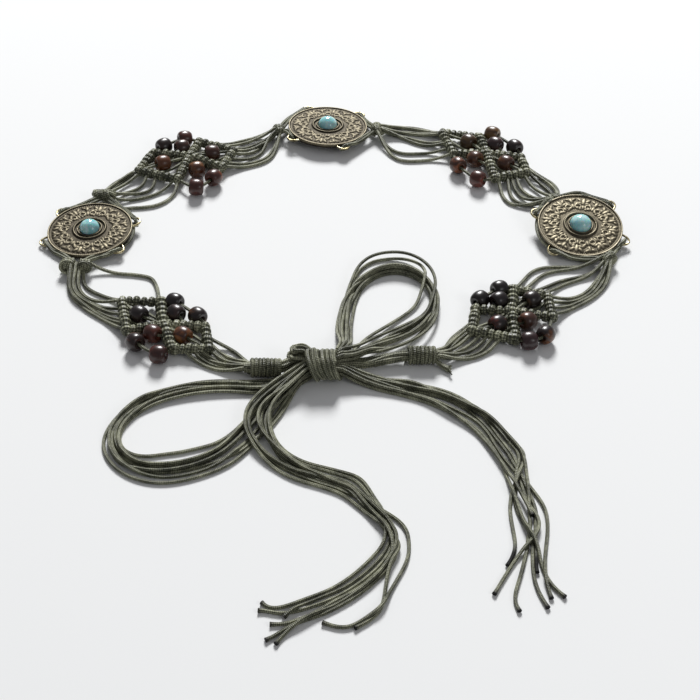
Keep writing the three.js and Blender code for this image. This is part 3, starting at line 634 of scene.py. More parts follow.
for panel in panelNames:
    bars = []
    for first, last, cutFirst, cutLast in panels["bars"]:
        a, b = corner(panel, [first]), corner(panel, [last])
        bars.append((a + (b - a) * cutFirst, b - (b - a) * cutLast))
    vertices = [tuple(p) for bar in bars for p in place(bar)]
    barMesh = bpy.data.meshes.new(panel + "Bars")
    barMesh.from_pydata(vertices, [(2 * k, 2 * k + 1) for k in range(len(bars))], [])
    stout = [panels["stoutBars"] if k < 4 else 1.0 for k in range(len(vertices))]
    barMesh.attributes.new("stout", "FLOAT", "POINT").data.foreach_set("value", stout)
    hitches = runTree(f"hitches_{panel}", hitchTree, barMesh, {
        "Pitch": panels["hitchPitch"] / 1000, "Turn Radius": panels["hitchRadius"] / 1000,
        "Cord Radius": panels["hitchCord"] / 1000,
        "Seed": 3 + panelNames.index(panel), "Finish": cordMaterial})
    finishPiece(hitches, "cord", f"panel_{panel}")
    lines, sizes = [], []
    for bar in bars:
        lines.append(place(np.linspace(bar[0], bar[1], 8)))
        sizes.append(panels["coreThickness"] / 1000)
    for thread in panels["threads"]:
        stops, spots = beadSpots(panel, thread)
        lines.append(smoothLine(place(stops)))
        sizes.append(panels["cordThickness"] / 1000)
        if len(spots) == 1 and "cell" in spots[0][0]:
            across = np.cross(spots[0][2], (0, 0, 1))
            for side in (-1, 1):
                around = [stops[0] + across * side * 1.2, spots[0][1] + across * side * 5.4 - (0, 0, 2.2),
                          stops[2] + across * side * 1.2]
                lines.append(smoothLine(place(around)))
                sizes.append(panels["besideThickness"] / 1000)
    threads = sweepCords(f"threads_{panel}", lines, sizes, cordMaterial, 10)
    finishPiece(threads, "cord", f"panel_{panel}")
print("panels knotted")


# turned wooden beads, in mm
bead = {
    "radius": 4.95, "height": 8.6, "hole": 1.25, "tipShare": 0.4, "sides": 40,
    # for each bead of a panel, in the order of its nodes: deep and warm colour of the stain, and
    # how far its hole is tipped up towards the front, in degrees
    "front_left": [("#1c1415", "#38221f", 8), ("#3a1c14", "#9c6233", 10), ("#40201a", "#6e3626", 15),
                   ("#1d1414", "#3d2421", 15), ("#241615", "#85452f", 38), ("#351a16", "#58281f", 22),
                   ("#1a1213", "#33201f", 10), ("#1f1413", "#6b4426", 15)],
    "back_left": [("#5a3219", "#9f6f36", 15), ("#3c1f16", "#74422a", 15), ("#4a2815", "#94632f", 10),
                  ("#2a1814", "#5c3526", 10), ("#3c1b15", "#7c3a28", 22), ("#40201a", "#93502f", 15),
                  ("#1f1413", "#42261e", 10), ("#311814", "#5c2b20", 15)],
    "back_right": [("#3d2a17", "#73592f", 10), ("#43261a", "#7b4f2c", 15), ("#442618", "#845a34", 38),
                   ("#2b191b", "#563432", 10), ("#3b2015", "#925432", 17), ("#431f18", "#7c3527", 15),
                   ("#49301c", "#94713f", 10), ("#1e1413", "#3f2722", 15)],
    "front_right": [("#1e1514", "#5a3a22", 12), ("#1c1413", "#6e231b", 15), ("#3c2319", "#76492f", 38),
                    ("#1c1415", "#382325", 10), ("#1d1413", "#7c4a22", 20), ("#2d1a1c", "#5b3432", 17),
                    ("#171112", "#2f1f20", 10), ("#131010", "#2a1d1d", 12)],
}


def latheRings(profile, sides):
    turn = np.linspace(0, 2 * math.pi, sides, endpoint=False)
    points = [(r * math.cos(a), r * math.sin(a), z) for r, z in profile for a in turn]
    faces = []
    for i in range(len(profile) - 1):
        for j in range(sides):
            k = (j + 1) % sides
            faces.append((i * sides + j, i * sides + k, (i + 1) * sides + k, (i + 1) * sides + j))
    return np.array(points), faces


def beadProfile():
    r, h, hole = bead["radius"], bead["height"] / 2, bead["hole"]
    out = []
    for t in np.linspace(-math.pi / 2, math.pi / 2, 19)[1:-1]:
        bulge = abs(math.cos(t)) ** 0.62
        out.append((hole + 0.35 + (r - hole - 0.35) * bulge, h * math.sin(t)))
    return [(hole, -h * 0.9)] + out + [(hole, h * 0.9), (hole, 0), (hole, -h * 0.9)]


def meshOf(name, points, faces, material):
    mesh = bpy.data.meshes.new(name)
    mesh.from_pydata([tuple(p) for p in points], [], faces)
    mesh.materials.append(material)
    mesh.polygons.foreach_set("use_smooth", [True] * len(mesh.polygons))
    piece = bpy.data.objects.new(name, mesh)
    scene.collection.objects.link(piece)
    return piece


def makeWoodMaterial():
    # hardwood, turned, stained and waxed: near black to red-brown, grain along the hole, satin
    material, tree, shader = startMaterial("turnedHardwoodStainedWaxed")
    deep = addNode(tree, "ShaderNodeAttribute", attribute_name="deepTone")
    warm = addNode(tree, "ShaderNodeAttribute", attribute_name="warmTone")
    spot = addNode(tree, "ShaderNodeAttribute", attribute_name="beadSpot")
    across, lengthwise = patternScale(1.923), patternScale(7.692)
    stretched = addNode(tree, "ShaderNodeMapping", {"Scale": (across, across, lengthwise)},
                        {"Vector": spot.outputs["Vector"]})
    grain = addNode(tree, "ShaderNodeTexNoise", {"Scale": 1.0, "Detail": 5, "Distortion": 0.4},
                    {"Vector": stretched.outputs[0]})
    patch = addNode(tree, "ShaderNodeTexNoise", {"Scale": patternScale(7.143), "Detail": 2},
                    {"Vector": spot.outputs["Vector"]})
    blend = addNode(tree, "ShaderNodeMath", {1: 0.55}, {0: grain.outputs[0], 2: patch.outputs[0]},
                    operation="MULTIPLY_ADD")
    share = addNode(tree, "ShaderNodeMapRange", {"From Min": 0.78, "From Max": 1.14},
                    {"Value": blend.outputs[0]})
    mixed = addNode(tree, "ShaderNodeMix", links={"Factor": share.outputs[0], "A": deep.outputs["Color"],
                                                 "B": warm.outputs["Color"]}, data_type="RGBA")
    bump = addNode(tree, "ShaderNodeBump", {"Strength": 0.25, "Distance": 0.00006},
                   {"Height": grain.outputs[0]})
    tree.links.new(mixed.outputs["Result"], shader.inputs["Base Color"])
    tree.links.new(bump.outputs[0], shader.inputs["Normal"])
    shader.inputs["Roughness"].default_value = 0.34
    shader.inputs["IOR"].default_value = 1.5
    shader.inputs["Specular IOR Level"].default_value = 0.45
    shader.inputs["Coat Weight"].default_value = 0.22
    shader.inputs["Coat Roughness"].default_value = 0.2
    return material


woodMaterial = makeWoodMaterial()
for panel in panelNames:
    number = 0
    for thread in panels["threads"]:
        for name, middle, along in beadSpots(panel, thread)[1]:
            number += 1
            shape, faces = latheRings(beadProfile(), bead["sides"])
            deep, warm, tip = bead[panel][number - 1]
            tip = math.radians(tip * bead["tipShare"])
            toFront = Vector(along) if along[1] < 0 else -Vector(along)
            raisedWay = toFront * math.cos(tip) + Vector((0, 0, math.sin(tip)))
            spin = np.array(Vector((0, 0, 1)).rotation_difference(raisedWay).to_matrix())
            points = place(shape @ spin.T + middle)
            piece = meshOf(f"turned_bead_{panel}_{number}", points, faces, woodMaterial)
            for key, code in (("deepTone", deep), ("warmTone", warm)):
                layer = piece.data.attributes.new(key, "FLOAT_COLOR", "POINT")
                layer.data.foreach_set("color", np.tile(linear(code), len(points)))
            layer = piece.data.attributes.new("beadSpot", "FLOAT_VECTOR", "POINT")
            grainPlace = shape + (7 * number, 0, 11 * panelNames.index(panel))  # no two beads alike
            layer.data.foreach_set("vector", (grainPlace / 1000).ravel())
            finishPiece(piece, "wood", f"bead_{panel}_{number}")
print("beads turned")


# medallions, in mm and degrees; the last number of each lifts or lowers the tone of its metal: partly
# patina, partly painted reflection on the right disc and painted shade on the back one
medallions = {
    "radius": 24, "wire": 1.25, "domeHeight": 5.1, "loopReach": 5.3, "loopHalf": 3.9, "loopHeight": 1.1,
    "sides": 480, "hatchLines": 120, "hatchHeight": 0.16, "seat": 2.4, "domeFoot": 2.9, "domeSides": 48,
    "left": {"at": (-146.6, 100.5, 2.6), "leanRight": -3, "leanFront": 2, "loops": (135, 15, -46, -160),
             "stone": 5.6, "wearAndSheen": -0.03},
    "right": {"at": (129.5, 100.5, 5.7), "leanRight": 3, "leanFront": 10, "loops": (159, 44, -23, -130),
              "stone": 6.1, "wearAndSheen": 0.1},
    "back": {"at": (-13.7, 207, 3.2), "leanRight": 2, "leanFront": -4, "loops": (119, 41, -67, -145),
             "stone": 5.8, "wearAndSheen": -0.06},
}


def discPose(side):
    spec = medallions[side]
    a, b = math.radians(spec["leanFront"]), math.radians(spec["leanRight"])
    tip = np.array([[1, 0, 0], [0, math.cos(a), -math.sin(a)], [0, math.sin(a), math.cos(a)]])
    lean = np.array([[math.cos(b), 0, math.sin(b)], [0, 1, 0], [-math.sin(b), 0, math.cos(b)]])
    turn = tip @ lean
    return lambda p: np.asarray(p, float) @ turn.T + np.array(spec["at"])


def castRelief(r, a):
    # height of the raised ornament at radius r and angle a, in mm: eight palmettes round the bezel
    # and eight pointed leaves between them, near the rim
    step = 2 * math.pi / 8
    high = np.zeros_like(r)

    def petal(cx, cy, length, width, tall, degrees=0.0):
        nonlocal high
        c, s = math.cos(math.radians(degrees)), math.sin(math.radians(degrees))
        u, v = (x - cx) * c + (y - cy) * s, (y - cy) * c - (x - cx) * s
        full = 1 - (u / length / 1.06) ** 2 - (v / width / 1.16) ** 2
        high = np.maximum(high, tall * np.clip(full, 0, 1) ** 0.6)

    def scroll(cx, cy, radius, width, tall):
        nonlocal high
        ring = np.abs(np.hypot(x - cx, y - cy) - radius)
        high = np.maximum(high, tall * np.clip(1 - (ring / width) ** 2, 0, 1) ** 0.7)

    off = (a - 0.25 * step + step / 2) % step - step / 2
    x, y = r * np.cos(off), np.abs(r * np.sin(off))
    petal(13.9, 0, 1.9, 0.95, 0.6)
    petal(12.4, 1.9, 1.05, 0.95, 0.65)
    petal(15.3, 2.5, 1.9, 0.95, 0.6, 48)
    scroll(13.5, 2.7, 1.55, 0.68, 0.55)
    petal(17.9, 0, 2.1, 1.0, 0.65)
    petal(18.9, 1.7, 1.5, 0.8, 0.55, 62)
    off = (a + 0.25 * step + step / 2) % step - step / 2
    x, y = r * np.cos(off), np.abs(r * np.sin(off))
    petal(17.6, 0, 2.7, 1.1, 0.7)
    petal(18.2, 2.2, 1.9, 0.95, 0.65, 42)
    petal(16.1, 1.9, 1.5, 0.8, 0.6, 70)
    petal(13.0, 0, 1.7, 0.75, 0.55)
    petal(11.6, 1.5, 0.8, 0.8, 0.5)
    ground = 0.05 * (np.sin(r * 7.3) * np.sin(a * 96) + np.sin(r * 4.9 + a * 61) * 0.7)
    return np.maximum(high, ground + 0.02)


def medallionShape():
    radii = np.unique(np.concatenate([
        [0.0, 3, 5.9], np.linspace(6.2, 9.6, 26), [9.8, 10.1, 10.4], np.linspace(10.5, 21.8, 58),
        np.linspace(21.95, 23.0, 9), np.linspace(23.1, 23.95, 7), [24.0]]))
    sides = medallions["sides"]
    angles = np.linspace(0, 2 * math.pi, sides, endpoint=False)
    r, a = np.meshgrid(radii[1:], angles, indexing="ij")
    # section of the disc, from the stone's seat to the rim: radii and heights
    sectionAt = [0, 6.2, 6.45, 6.8, 7.1, 7.3, 8.2, 8.5, 8.8, 9.1, 9.4, 9.7, 10.3, 21.5, 21.8, 22.8, 23.1,
                 23.4, 23.75, 23.95, 24]
    sectionHigh = [2, 2, 3.2, 3.3, 3.1, 2.3, 2.3, 3.0, 3.3, 3.35, 3.1, 2.5, 2.3, 1.95, 1.8, 1.8, 2.3,
                   2.5, 2.52, 2.35, 2.1]
    base = np.interp(r, sectionAt, sectionHigh)
    relief = castRelief(r * 0.94, a) * softStep(r, 10.2, 10.7) * (1 - softStep(r, 21.4, 21.8))
    lines = np.clip(0.5 + 0.5 * np.cos(medallions["hatchLines"] * a), 0, 1)
    hatch = medallions["hatchHeight"] * lines * softStep(r, 21.8, 22.0) * (1 - softStep(r, 22.7, 22.9))
    z = base + relief + hatch
    rows = [np.column_stack([r[i] * np.cos(a[i]), r[i] * np.sin(a[i]), z[i]]) for i in range(len(r))]
    edge = (softStep(r, 23.1, 23.4) + softStep(r, 8.4, 8.8) * (1 - softStep(r, 9.2, 9.5)) * 0.7
            + softStep(r, 6.2, 6.5) * (1 - softStep(r, 6.9, 7.2)) * 0.6)
    shade = 0.31 - 0.04 * softStep(r, 22.0, 22.8)
    raised = list(np.clip(relief * 0.4 + hatch * 0.8 + edge * 0.4 + shade, 0, 1))
    for radius, height in ((24, 0.35), (23.6, 0), (12, 0)):
        rows.append(np.column_stack([radius * np.cos(angles), radius * np.sin(angles),
                                     np.full(sides, height)]))
        raised.append(np.full(sides, 0.25))
    points = np.vstack([[(0, 0, 2.0)]] + rows + [[(0, 0, 0)]])
    tone = np.concatenate([[0.0]] + raised + [[0.5]])
    faces = [(0, 1 + j, 1 + (j + 1) % sides) for j in range(sides)]
    for i in range(len(rows) - 1):
        inner, outer = 1 + i * sides, 1 + (i + 1) * sides
        for j in range(sides):
            k = (j + 1) % sides
            faces.append((inner + j, outer + j, outer + k, inner + k))
    lastRing = 1 + (len(rows) - 1) * sides
    faces += [(lastRing + j, len(points) - 1, lastRing + (j + 1) % sides) for j in range(sides)]
    return points, faces, tone


def makeBronzeMaterial():
    # cast bronze, antiqued: raised places rubbed bright and satin, hollows left dark with patina
    material, tree, shader = startMaterial("castBronzeAntiqued")
    raised = addNode(tree, "ShaderNodeAttribute", attribute_name="raised")
    spot = addNode(tree, "ShaderNodeTexCoord")
    cloud = addNode(tree, "ShaderNodeTexNoise", {"Scale": patternScale(3.846), "Detail": 4},
                    {"Vector": spot.outputs["Object"]})
    grit = addNode(tree, "ShaderNodeTexNoise", {"Scale": patternScale(0.4545), "Detail": 3},
                   {"Vector": spot.outputs["Object"]})
    worn = addNode(tree, "ShaderNodeMath", {1: 0.34, 2: -0.17}, {0: cloud.outputs[0]},
                   operation="MULTIPLY_ADD")
    gritty = addNode(tree, "ShaderNodeMath", {1: 0.3, 2: -0.15}, {0: grit.outputs[0]},
                     operation="MULTIPLY_ADD")
    both = addNode(tree, "ShaderNodeMath", operation="ADD",
                   links={0: worn.outputs[0], 1: gritty.outputs[0]})
    tone = addNode(tree, "ShaderNodeMath", operation="ADD",
                   links={0: both.outputs[0], 1: raised.outputs["Fac"]})
    tint = addNode(tree, "ShaderNodeValToRGB", links={"Fac": tone.outputs[0]},
                   stops=[(0.0, "#1d1b16"), (0.3, "#454036"), (0.62, "#78715f"), (1.0, "#aaa28e")])
    rough = addNode(tree, "ShaderNodeMapRange", {"To Min": 0.66, "To Max": 0.42},
                    {"Value": tone.outputs[0]})
    bump = addNode(tree, "ShaderNodeBump", {"Strength": 0.5, "Distance": 0.00012},
                   {"Height": grit.outputs[0]})
    tree.links.new(tint.outputs[0], shader.inputs["Base Color"])
    tree.links.new(rough.outputs[0], shader.inputs["Roughness"])
    tree.links.new(bump.outputs[0], shader.inputs["Normal"])
    shader.inputs["Metallic"].default_value = 1.0
    return material


def makeWireMaterial():
    # drawn brass wire, bent and soldered: pale gold with a few tarnished spots
    material, tree, shader = startMaterial("drawnBrassWire")
    spot = addNode(tree, "ShaderNodeTexCoord")
    cloud = addNode(tree, "ShaderNodeTexNoise", {"Scale": patternScale(2.381), "Detail": 3},
                    {"Vector": spot.outputs["Object"]})
    tint = addNode(tree, "ShaderNodeValToRGB", links={"Fac": cloud.outputs[0]},
                   stops=[(0.3, "#6b6248"), (0.5, "#a89d7a"), (0.75, "#dcd5b8")])
    rough = addNode(tree, "ShaderNodeMapRange", {"To Min": 0.2, "To Max": 0.42},
                    {"Value": cloud.outputs[0]})
    tree.links.new(tint.outputs[0], shader.inputs["Base Color"])
    tree.links.new(rough.outputs[0], shader.inputs["Roughness"])
    shader.inputs["Metallic"].default_value = 1.0
    return material


def makeStoneMaterial():
    # turquoise cabochon, polished: milky blue-green with cloudy patches and a faint dark web
    material, tree, shader = startMaterial("turquoiseCabochonPolished")
    spot = addNode(tree, "ShaderNodeTexCoord")
    cloud = addNode(tree, "ShaderNodeTexNoise",
                    {"Scale": patternScale(5.263), "Detail": 4, "Distortion": 0.6},
                    {"Vector": spot.outputs["Object"]})
    web = addNode(tree, "ShaderNodeTexVoronoi", {"Scale": patternScale(4.762)},
                  {"Vector": spot.outputs["Object"]},
                  feature="DISTANCE_TO_EDGE")
    line = addNode(tree, "ShaderNodeMapRange", {"From Max": 0.03, "To Min": 0.22, "To Max": 0.0},
                   {"Value": web.outputs["Distance"]})
    body = addNode(tree, "ShaderNodeValToRGB", links={"Fac": cloud.outputs[0]},
                   stops=[(0.3, "#7cc4cc"), (0.5, "#a2dbdf"), (0.72, "#cdeeec")])
    mixed = addNode(tree, "ShaderNodeMix", {"B": linear("#467b7c")},
                    {"Factor": line.outputs[0], "A": body.outputs[0]},
                    data_type="RGBA")
    tree.links.new(mixed.outputs["Result"], shader.inputs["Base Color"])
    shader.inputs["Roughness"].default_value = 0.12
    shader.inputs["IOR"].default_value = 1.61
    shader.inputs["Coat Weight"].default_value = 0.3
    shader.inputs["Subsurface Weight"].default_value = 0.3
    shader.inputs["Subsurface Scale"].default_value = 0.002
    return material


bronzeMaterial, wireMaterial, stoneMaterial = makeBronzeMaterial(), makeWireMaterial(), makeStoneMaterial()
print("materials mixed")
discPoints, discFaces, discTone = medallionShape()
for side in ("left", "right", "back"):
    pose = discPose(side)
    disc = meshOf(f"cast_disc_{side}", place(pose(discPoints)), discFaces, bronzeMaterial)
    # each disc's tone offset: partly patina, partly painted reflection (right disc) and painted shade (back
    # disc)
    tone = discTone + medallions[side]["wearAndSheen"]
    disc.data.attributes.new("raised", "FLOAT", "POINT").data.foreach_set("value", tone)
    finishPiece(disc, "bronze", f"medallion_{side}")
    loops = []
    for angle in medallions[side]["loops"]:
        swing = np.linspace(-math.pi / 2, math.pi / 2, 17)
        out = medallions["radius"] - 0.6 + np.cos(swing) * medallions["loopReach"]
        sideways = np.sin(swing) * medallions["loopHalf"]
        c, s = math.cos(math.radians(angle)), math.sin(math.radians(angle))
        loops.append(place(pose(np.column_stack([out * c - sideways * s, out * s + sideways * c,
                                                 np.full(17, medallions["loopHeight"])]))))
    wires = sweepCords(f"wire_loops_{side}", loops, medallions["wire"] / 1000, wireMaterial, 10)
    finishPiece(wires, "bronze", f"medallion_{side}")
    size, rise = medallions[side]["stone"], medallions["domeHeight"]
    seat, foot, domeSides = medallions["seat"], medallions["domeFoot"], medallions["domeSides"]
    profile = [(size * math.cos(t), foot + rise * math.sin(t)) for t in np.linspace(0, 1.5, 14)]
    dome, domeFaces = latheRings([(size - 0.1, seat)] + profile, domeSides)
    top = len(dome)
    dome = np.vstack([dome, [(0, 0, foot + rise)], [(0, 0, seat)]])
    ringStart = top - domeSides
    domeFaces += [(ringStart + j, ringStart + (j + 1) % domeSides, top) for j in range(domeSides)]
    domeFaces += [((j + 1) % domeSides, j, top + 1) for j in range(domeSides)]
    stone = meshOf(f"cabochon_{side}", place(pose(dome)), domeFaces, stoneMaterial)
    finishPiece(stone, "turquoise", f"turquoise_{side}")
print("medallions cast")


# spans of loose strands, and the lashings that tie the medallions to the panels
# carrier: cord under a medallion's rim, from one angle to another, in degrees
# join: -1 far corner of the panel's end, 0 its tip, 1 its near corner; sways in mm, left of the way
spans = {
    "lashing_back_right": {"knot": (16, 204), "panel": "back_right", "end": "start", "disc": "back",
                           "loops": (1, 2), "strands": [
        (-0.35, 9, 8), (-0.25, 8, 6.5), (0, 4, 3), (0.08, 2.6, 1), (0.45, 0, -6), (0.5, -1, -10),
        (0.75, -20, -19), (1, -27, -27)]},
    "lashing_right_upper": {"knot": (118, 129), "panel": "back_right", "end": "end", "disc": "right",
                            "loops": (0, 1), "strands": [
        (-0.4, -10, -11), (-0.3, -8, -9), (-0.1, -5, -4), (0.1, 0, 3), (0.35, 7, 10), (0.5, 13, 13),
        (0.6, 19, 17), (0.9, 23, 22)]},
    "lashing_left_lower": {"knot": (-150, 67), "panel": "front_left", "end": "start", "disc": "left",
                           "carrier": (15, -46), "loops": (2, 3), "strands": [
        (-0.2, -6, -3), (0, -10, -10), (0.3, -11, -12), (0.5, -13, -14), (0.7, -14, -15),
        (0.8, -15, -15.5), (1, -15, -16)],
        "spread": 5.2, "knots": ((-4.6, 9.4), (4.6, 8.6)),
        "own": [[(-144, 69, 5), (-137, 66.5, 3.4), (-126, 64, 3), (-118, 63, 3), (-109, 60, 3),
                 (-105, 52, 4),
                 (-103, 42, 4), (-101.5, 35, 4)]]},
    "lashing_left_upper": {"knot": (-142, 133), "panel": "back_left", "end": "start", "disc": "left",
                           "loops": (0, 1), "strands": [
        (-0.1, 7, 7), (-0.04, 5, 5), (0, 4, 4), (0.1, 1.6, 0), (0.25, -3, -10), (0.45, -5, -17),
        (0.95, -14, -21)],
        "knots": ((-1.5, 9.6), (3.5, 8)),
        "own": [[(-139, 134, 4), (-135, 130, 3), (-131, 126, 2), (-125, 126.5, 1.2), (-119, 127, 1.2),
                 (-112, 129, 1.2), (-106, 134, 2), (-102, 142, 3), (-101, 150, 4)]]},
    "lashing_back_left": {"knot": (-43, 203), "panel": "back_left", "end": "end", "disc": "back",
                          "carrier": (215, 190), "loops": (0, 3), "strands": [
        (-0.75, -7, -9.5), (-0.4, -4, -7), (-0.1, -1, -1), (0, 3, 3), (0.2, 1, 6), (0.5, 2, 11),
        (0.75, 9, 16), (0.95, 11, 18.5)]},
    "lashing_right_lower": {"knot": (142.5, 73), "panel": "front_right", "end": "start", "disc": "right",
                            "carrier": (159, 230), "loops": (2, 3), "strands": [
        (-0.95, -10, -24), (-0.7, -8, -18), (-0.45, 0, -8), (-0.2, 1, -4), (0.05, 6, 10), (0.3, 8, 12),
        (0.6, 10, 14.5), (0.9, 13, 14)]},
    "span_wrap_left": {"knot": (-51, -19.8), "panel": "front_left", "end": "end", "strands": [
        (-0.5, -6, -10), (-0.35, -3, -1.5), (-0.1, -2, 0), (0, -1, 2), (0.3, 0, 4), (0.4, 1, 5),
        (0.5, 2, 6), (0.75, 5, 9)]},
    "span_wrap_right": {"knot": (43.6, -10), "panel": "front_right", "end": "end", "strands": [
        (-0.4, 1, 7), (-0.2, 0.6, 5), (0, 0, 3), (0.05, -1, -1), (0.25, -2.5, -5), (0.4, -5, -9),
        (0.5, -7, -13), (0.7, -9, -15)]},
}


def spanLines(name):
    spec = spans[name]
    ends = ("farA", "start", "nearA") if spec["end"] == "start" else ("farB", "end", "nearB")
    far, tip, near = (corner(spec["panel"], [n]) for n in ends)
    knot = np.array([*spec["knot"], 5.0])
    along = (tip - knot) * (1, 1, 0)
    reach = np.linalg.norm(along)
    along = along / reach
    left = np.array([-along[1], along[0], 0])
    rng = np.random.default_rng(len(name) * 7 + 1)
    order = np.argsort([s[1] for s in spec["strands"]])
    rank = np.empty(len(order))
    rank[order] = np.linspace(-1, 1, len(order))
    lines = []
    for k, (join, swayA, swayB) in enumerate(spec["strands"]):
        stop = tip + ((far if join < 0 else near) - tip) * abs(join)
        rise = (0.0, 1.6, -0.8, 1.0)[k % 4]
        begin = knot + left * rank[k] * spec.get("spread", 1.9) + (0, 0, rise)
        pointA = knot + along * reach / 3 + left * swayA
        pointB = knot + along * reach * 2 / 3 + left * swayB
        pointA[2] = 2.2 + rise * 0.8 + rng.uniform(0, 0.6)
        pointB[2] = 1.9 + rng.uniform(0, 1.6)
        line = smoothLine(np.array([begin, pointA, pointB, stop]) / 1000)
        for turn in range(24):  # no corners: waxed cord bends in long curves
            line[1:-1] += ((line[:-2] + line[2:]) / 2 - line[1:-1]) * 0.6
        lines.append(line)
    for own in spec.get("own", ()):
        lines.append(smoothLine(np.array(own) / 1000))
    return lines


spanNames = list(spans)
loose = [spanLines(name) for name in spanNames]
flat = [line for group in loose for line in group]
flat = settle(flat, [(2, 2)] * len(flat), 70, gap=0.0019, fall=0.00005)
spanStrands, offset = {}, 0
for name, group in zip(spanNames, loose):
    spanStrands[name] = [line + gridShift for line in flat[offset:offset + len(group)]]
    offset += len(group)


def coil(middle, along, turns, wide, high, length, thickness, lean=0.0, seed=0, bulge=0.0, uneven=0.02):
    # a wrapping of cord round a bundle; wide and high are its outer sizes
    along = np.array(along, float) / np.linalg.norm(along)
    side = np.cross((0, 0, 1), along)
    side /= np.linalg.norm(side)
    up = np.cross(along, side)
    steps = int(turns * 26)
    t = np.linspace(0, 1, steps)
    angle = 2 * math.pi * turns * t - math.pi / 2
    rng = np.random.default_rng(seed)
    each = rng.uniform(-uneven, uneven, int(turns) + 3)
    loosen = 1 + np.interp(turns * t, np.arange(len(each)), each) - bulge * (2 * t - 1) ** 2
    a, b = (wide - thickness) / 2 * loosen, (high - thickness) / 2 * loosen
    tilt = lean * (1 + np.interp(turns * t, np.arange(len(each)), each[::-1]) * 4)
    x = (t - 0.5) * (length - thickness) + np.sin(angle) * tilt * high / 2
    return (np.array(middle) + along * x[:, None] + side * (np.cos(angle) * a)[:, None]
            + up * (np.sin(angle) * b)[:, None])


for name in spanNames:
    lines, sizes = list(spanStrands[name]), [0.002] * len(spanStrands[name])
    spec = spans[name]
    if "disc" in spec:
        knot = np.array([*spec["knot"], 5.0])
        pose, disc = discPose(spec["disc"]), medallions[spec["disc"]]
        centre = np.array(disc["at"])
        outward = (knot - centre) * (1, 1, 0)
        outward /= np.linalg.norm(outward)
        knotAngle = math.degrees(math.atan2(outward[1], outward[0]))
        for which in spec["loops"]:
            angle = disc["loops"][which]
            swing = (knotAngle - angle + 540) % 360 - 180
            for lane in (-1, 1):
                route = []
                for radius, turn, height in ((26.2, -0.06, -0.6), (26.3, 0, 0.9), (26.2, 0.04, 2.1),
                                             (25.5, 0.14, 1.7), (25.2, 0.34, 0.9), (25.4, 0.64, 1.5)):
                    degrees = math.radians(angle + turn * swing)
                    out, aside = radius + lane * 1.0 * turn / 0.6, degrees + lane * 0.035
                    route.append(pose([out * math.cos(aside), out * math.sin(aside), height]))
                route.append(knot + outward * lane * 1.1 + (0, 0, 0.6 * lane))
                lines.append(smoothLine(place(route)))
                sizes.append(0.002)
        tangent = np.array([-outward[1], outward[0], 0])
        for shift, wide in spec.get("knots", ((0, 8.6),)):
            middle = knot + tangent * shift
            lines.append(place(coil(middle, tangent, 3, wide * 0.8, wide * 0.8, wide * 0.78, 2.1, lean=0.3,
                                    seed=5)))
            lines.append(place(coil(middle + outward * 1.5, outward, 2, wide * 1.05, wide * 0.8, 5.2, 2.1,
                                    lean=-0.35, seed=6)))
            sizes += [0.0021, 0.0021]
        if "carrier" in spec:
            turns = np.radians(np.linspace(*spec["carrier"], 14))
            sag = 0.2 - 1.2 * np.sin(np.linspace(0, math.pi, 14))
            under = np.column_stack([24.4 * np.cos(turns), 24.4 * np.sin(turns), sag])
            lines.append(smoothLine(place(pose(under))))
            sizes.append(0.0019)
    finishPiece(sweepCords(f"strands_{name}", lines, sizes, cordMaterial, 10), "cord", name)
print("spans laid")


# gathering wraps and the knot of the bow, in mm
wraps = {
    "left": {"from": (-52, -19.8, 5.1), "to": (-34.4, -20, 5.1), "turns": 8, "size": 10, "cord": 2.0,
             "bundle": [(-54, -19.8, 5.1, 5.5, 5.5), (-36, -19.8, 5.4, 6.5, 6.5), (-29, -17.5, 6.6, 7, 6.5),
                        (-18, -15, 7.2, 6, 6)]},
    "right": {"from": (28.4, -10, 5), "to": (44.6, -10, 5), "turns": 7, "size": 9.8, "cord": 2.1,
              "bundle": [(46, -10, 5, 5.5, 5.5), (30, -10, 4.8, 6.5, 6), (18, -12, 4, 7, 5.5),
                         (6, -15, 3.8, 6.5, 5), (-8, -16.4, 4.4, 6, 5)]},
    "stub": [(42, -11, 3.4), (44.5, -13, 3.2), (47.4, -15.2, 2.2), (51, -17.6, 1.5)],
    "bow": {"at": (-12.5, -21.8, 8.8), "half": 9.1, "wide": 18.4, "high": 16.6, "turns": 6.6, "cord": 2.3},
    # cord ends folded back into the knot on its left: reach to the left, y, height and slant, in mm
    "folds": [(-30, -13.5, 12.2, 0.5), (-28.5, -15.5, 13.4, -0.5), (-31.5, -15, 9.6, 1.0),
              (-30, -18, 10.4, -0.5),
              (-31.5, -16.5, 6.8, 0.8), (-28.5, -12, 9.5, 0.3)],
}


def bundleLines(rows, count, seed):
    line = smoothLine(np.array(rows) / 1000)
    forward = np.gradient(line[:, :3], axis=0)
    forward /= np.linalg.norm(forward, axis=1)[:, None]
    side = np.cross(forward, (0, 0, 1))
    side /= np.linalg.norm(side, axis=1)[:, None]
    up = np.cross(side, forward)
    rng = np.random.default_rng(seed)
    out = []
    for k in range(count):
        reach = 0.0 if k == 0 else 1.0
        turn = 2 * math.pi * k / (count - 1) + drift(rng, len(line), 0.8)
        out.append(line[:, :3] + side * (np.cos(turn) * reach * (line[:, 3] / 2 - 0.001))[:, None]
                   + up * (np.sin(turn) * reach * (line[:, 4] / 2 - 0.001))[:, None] + gridShift)
    return out


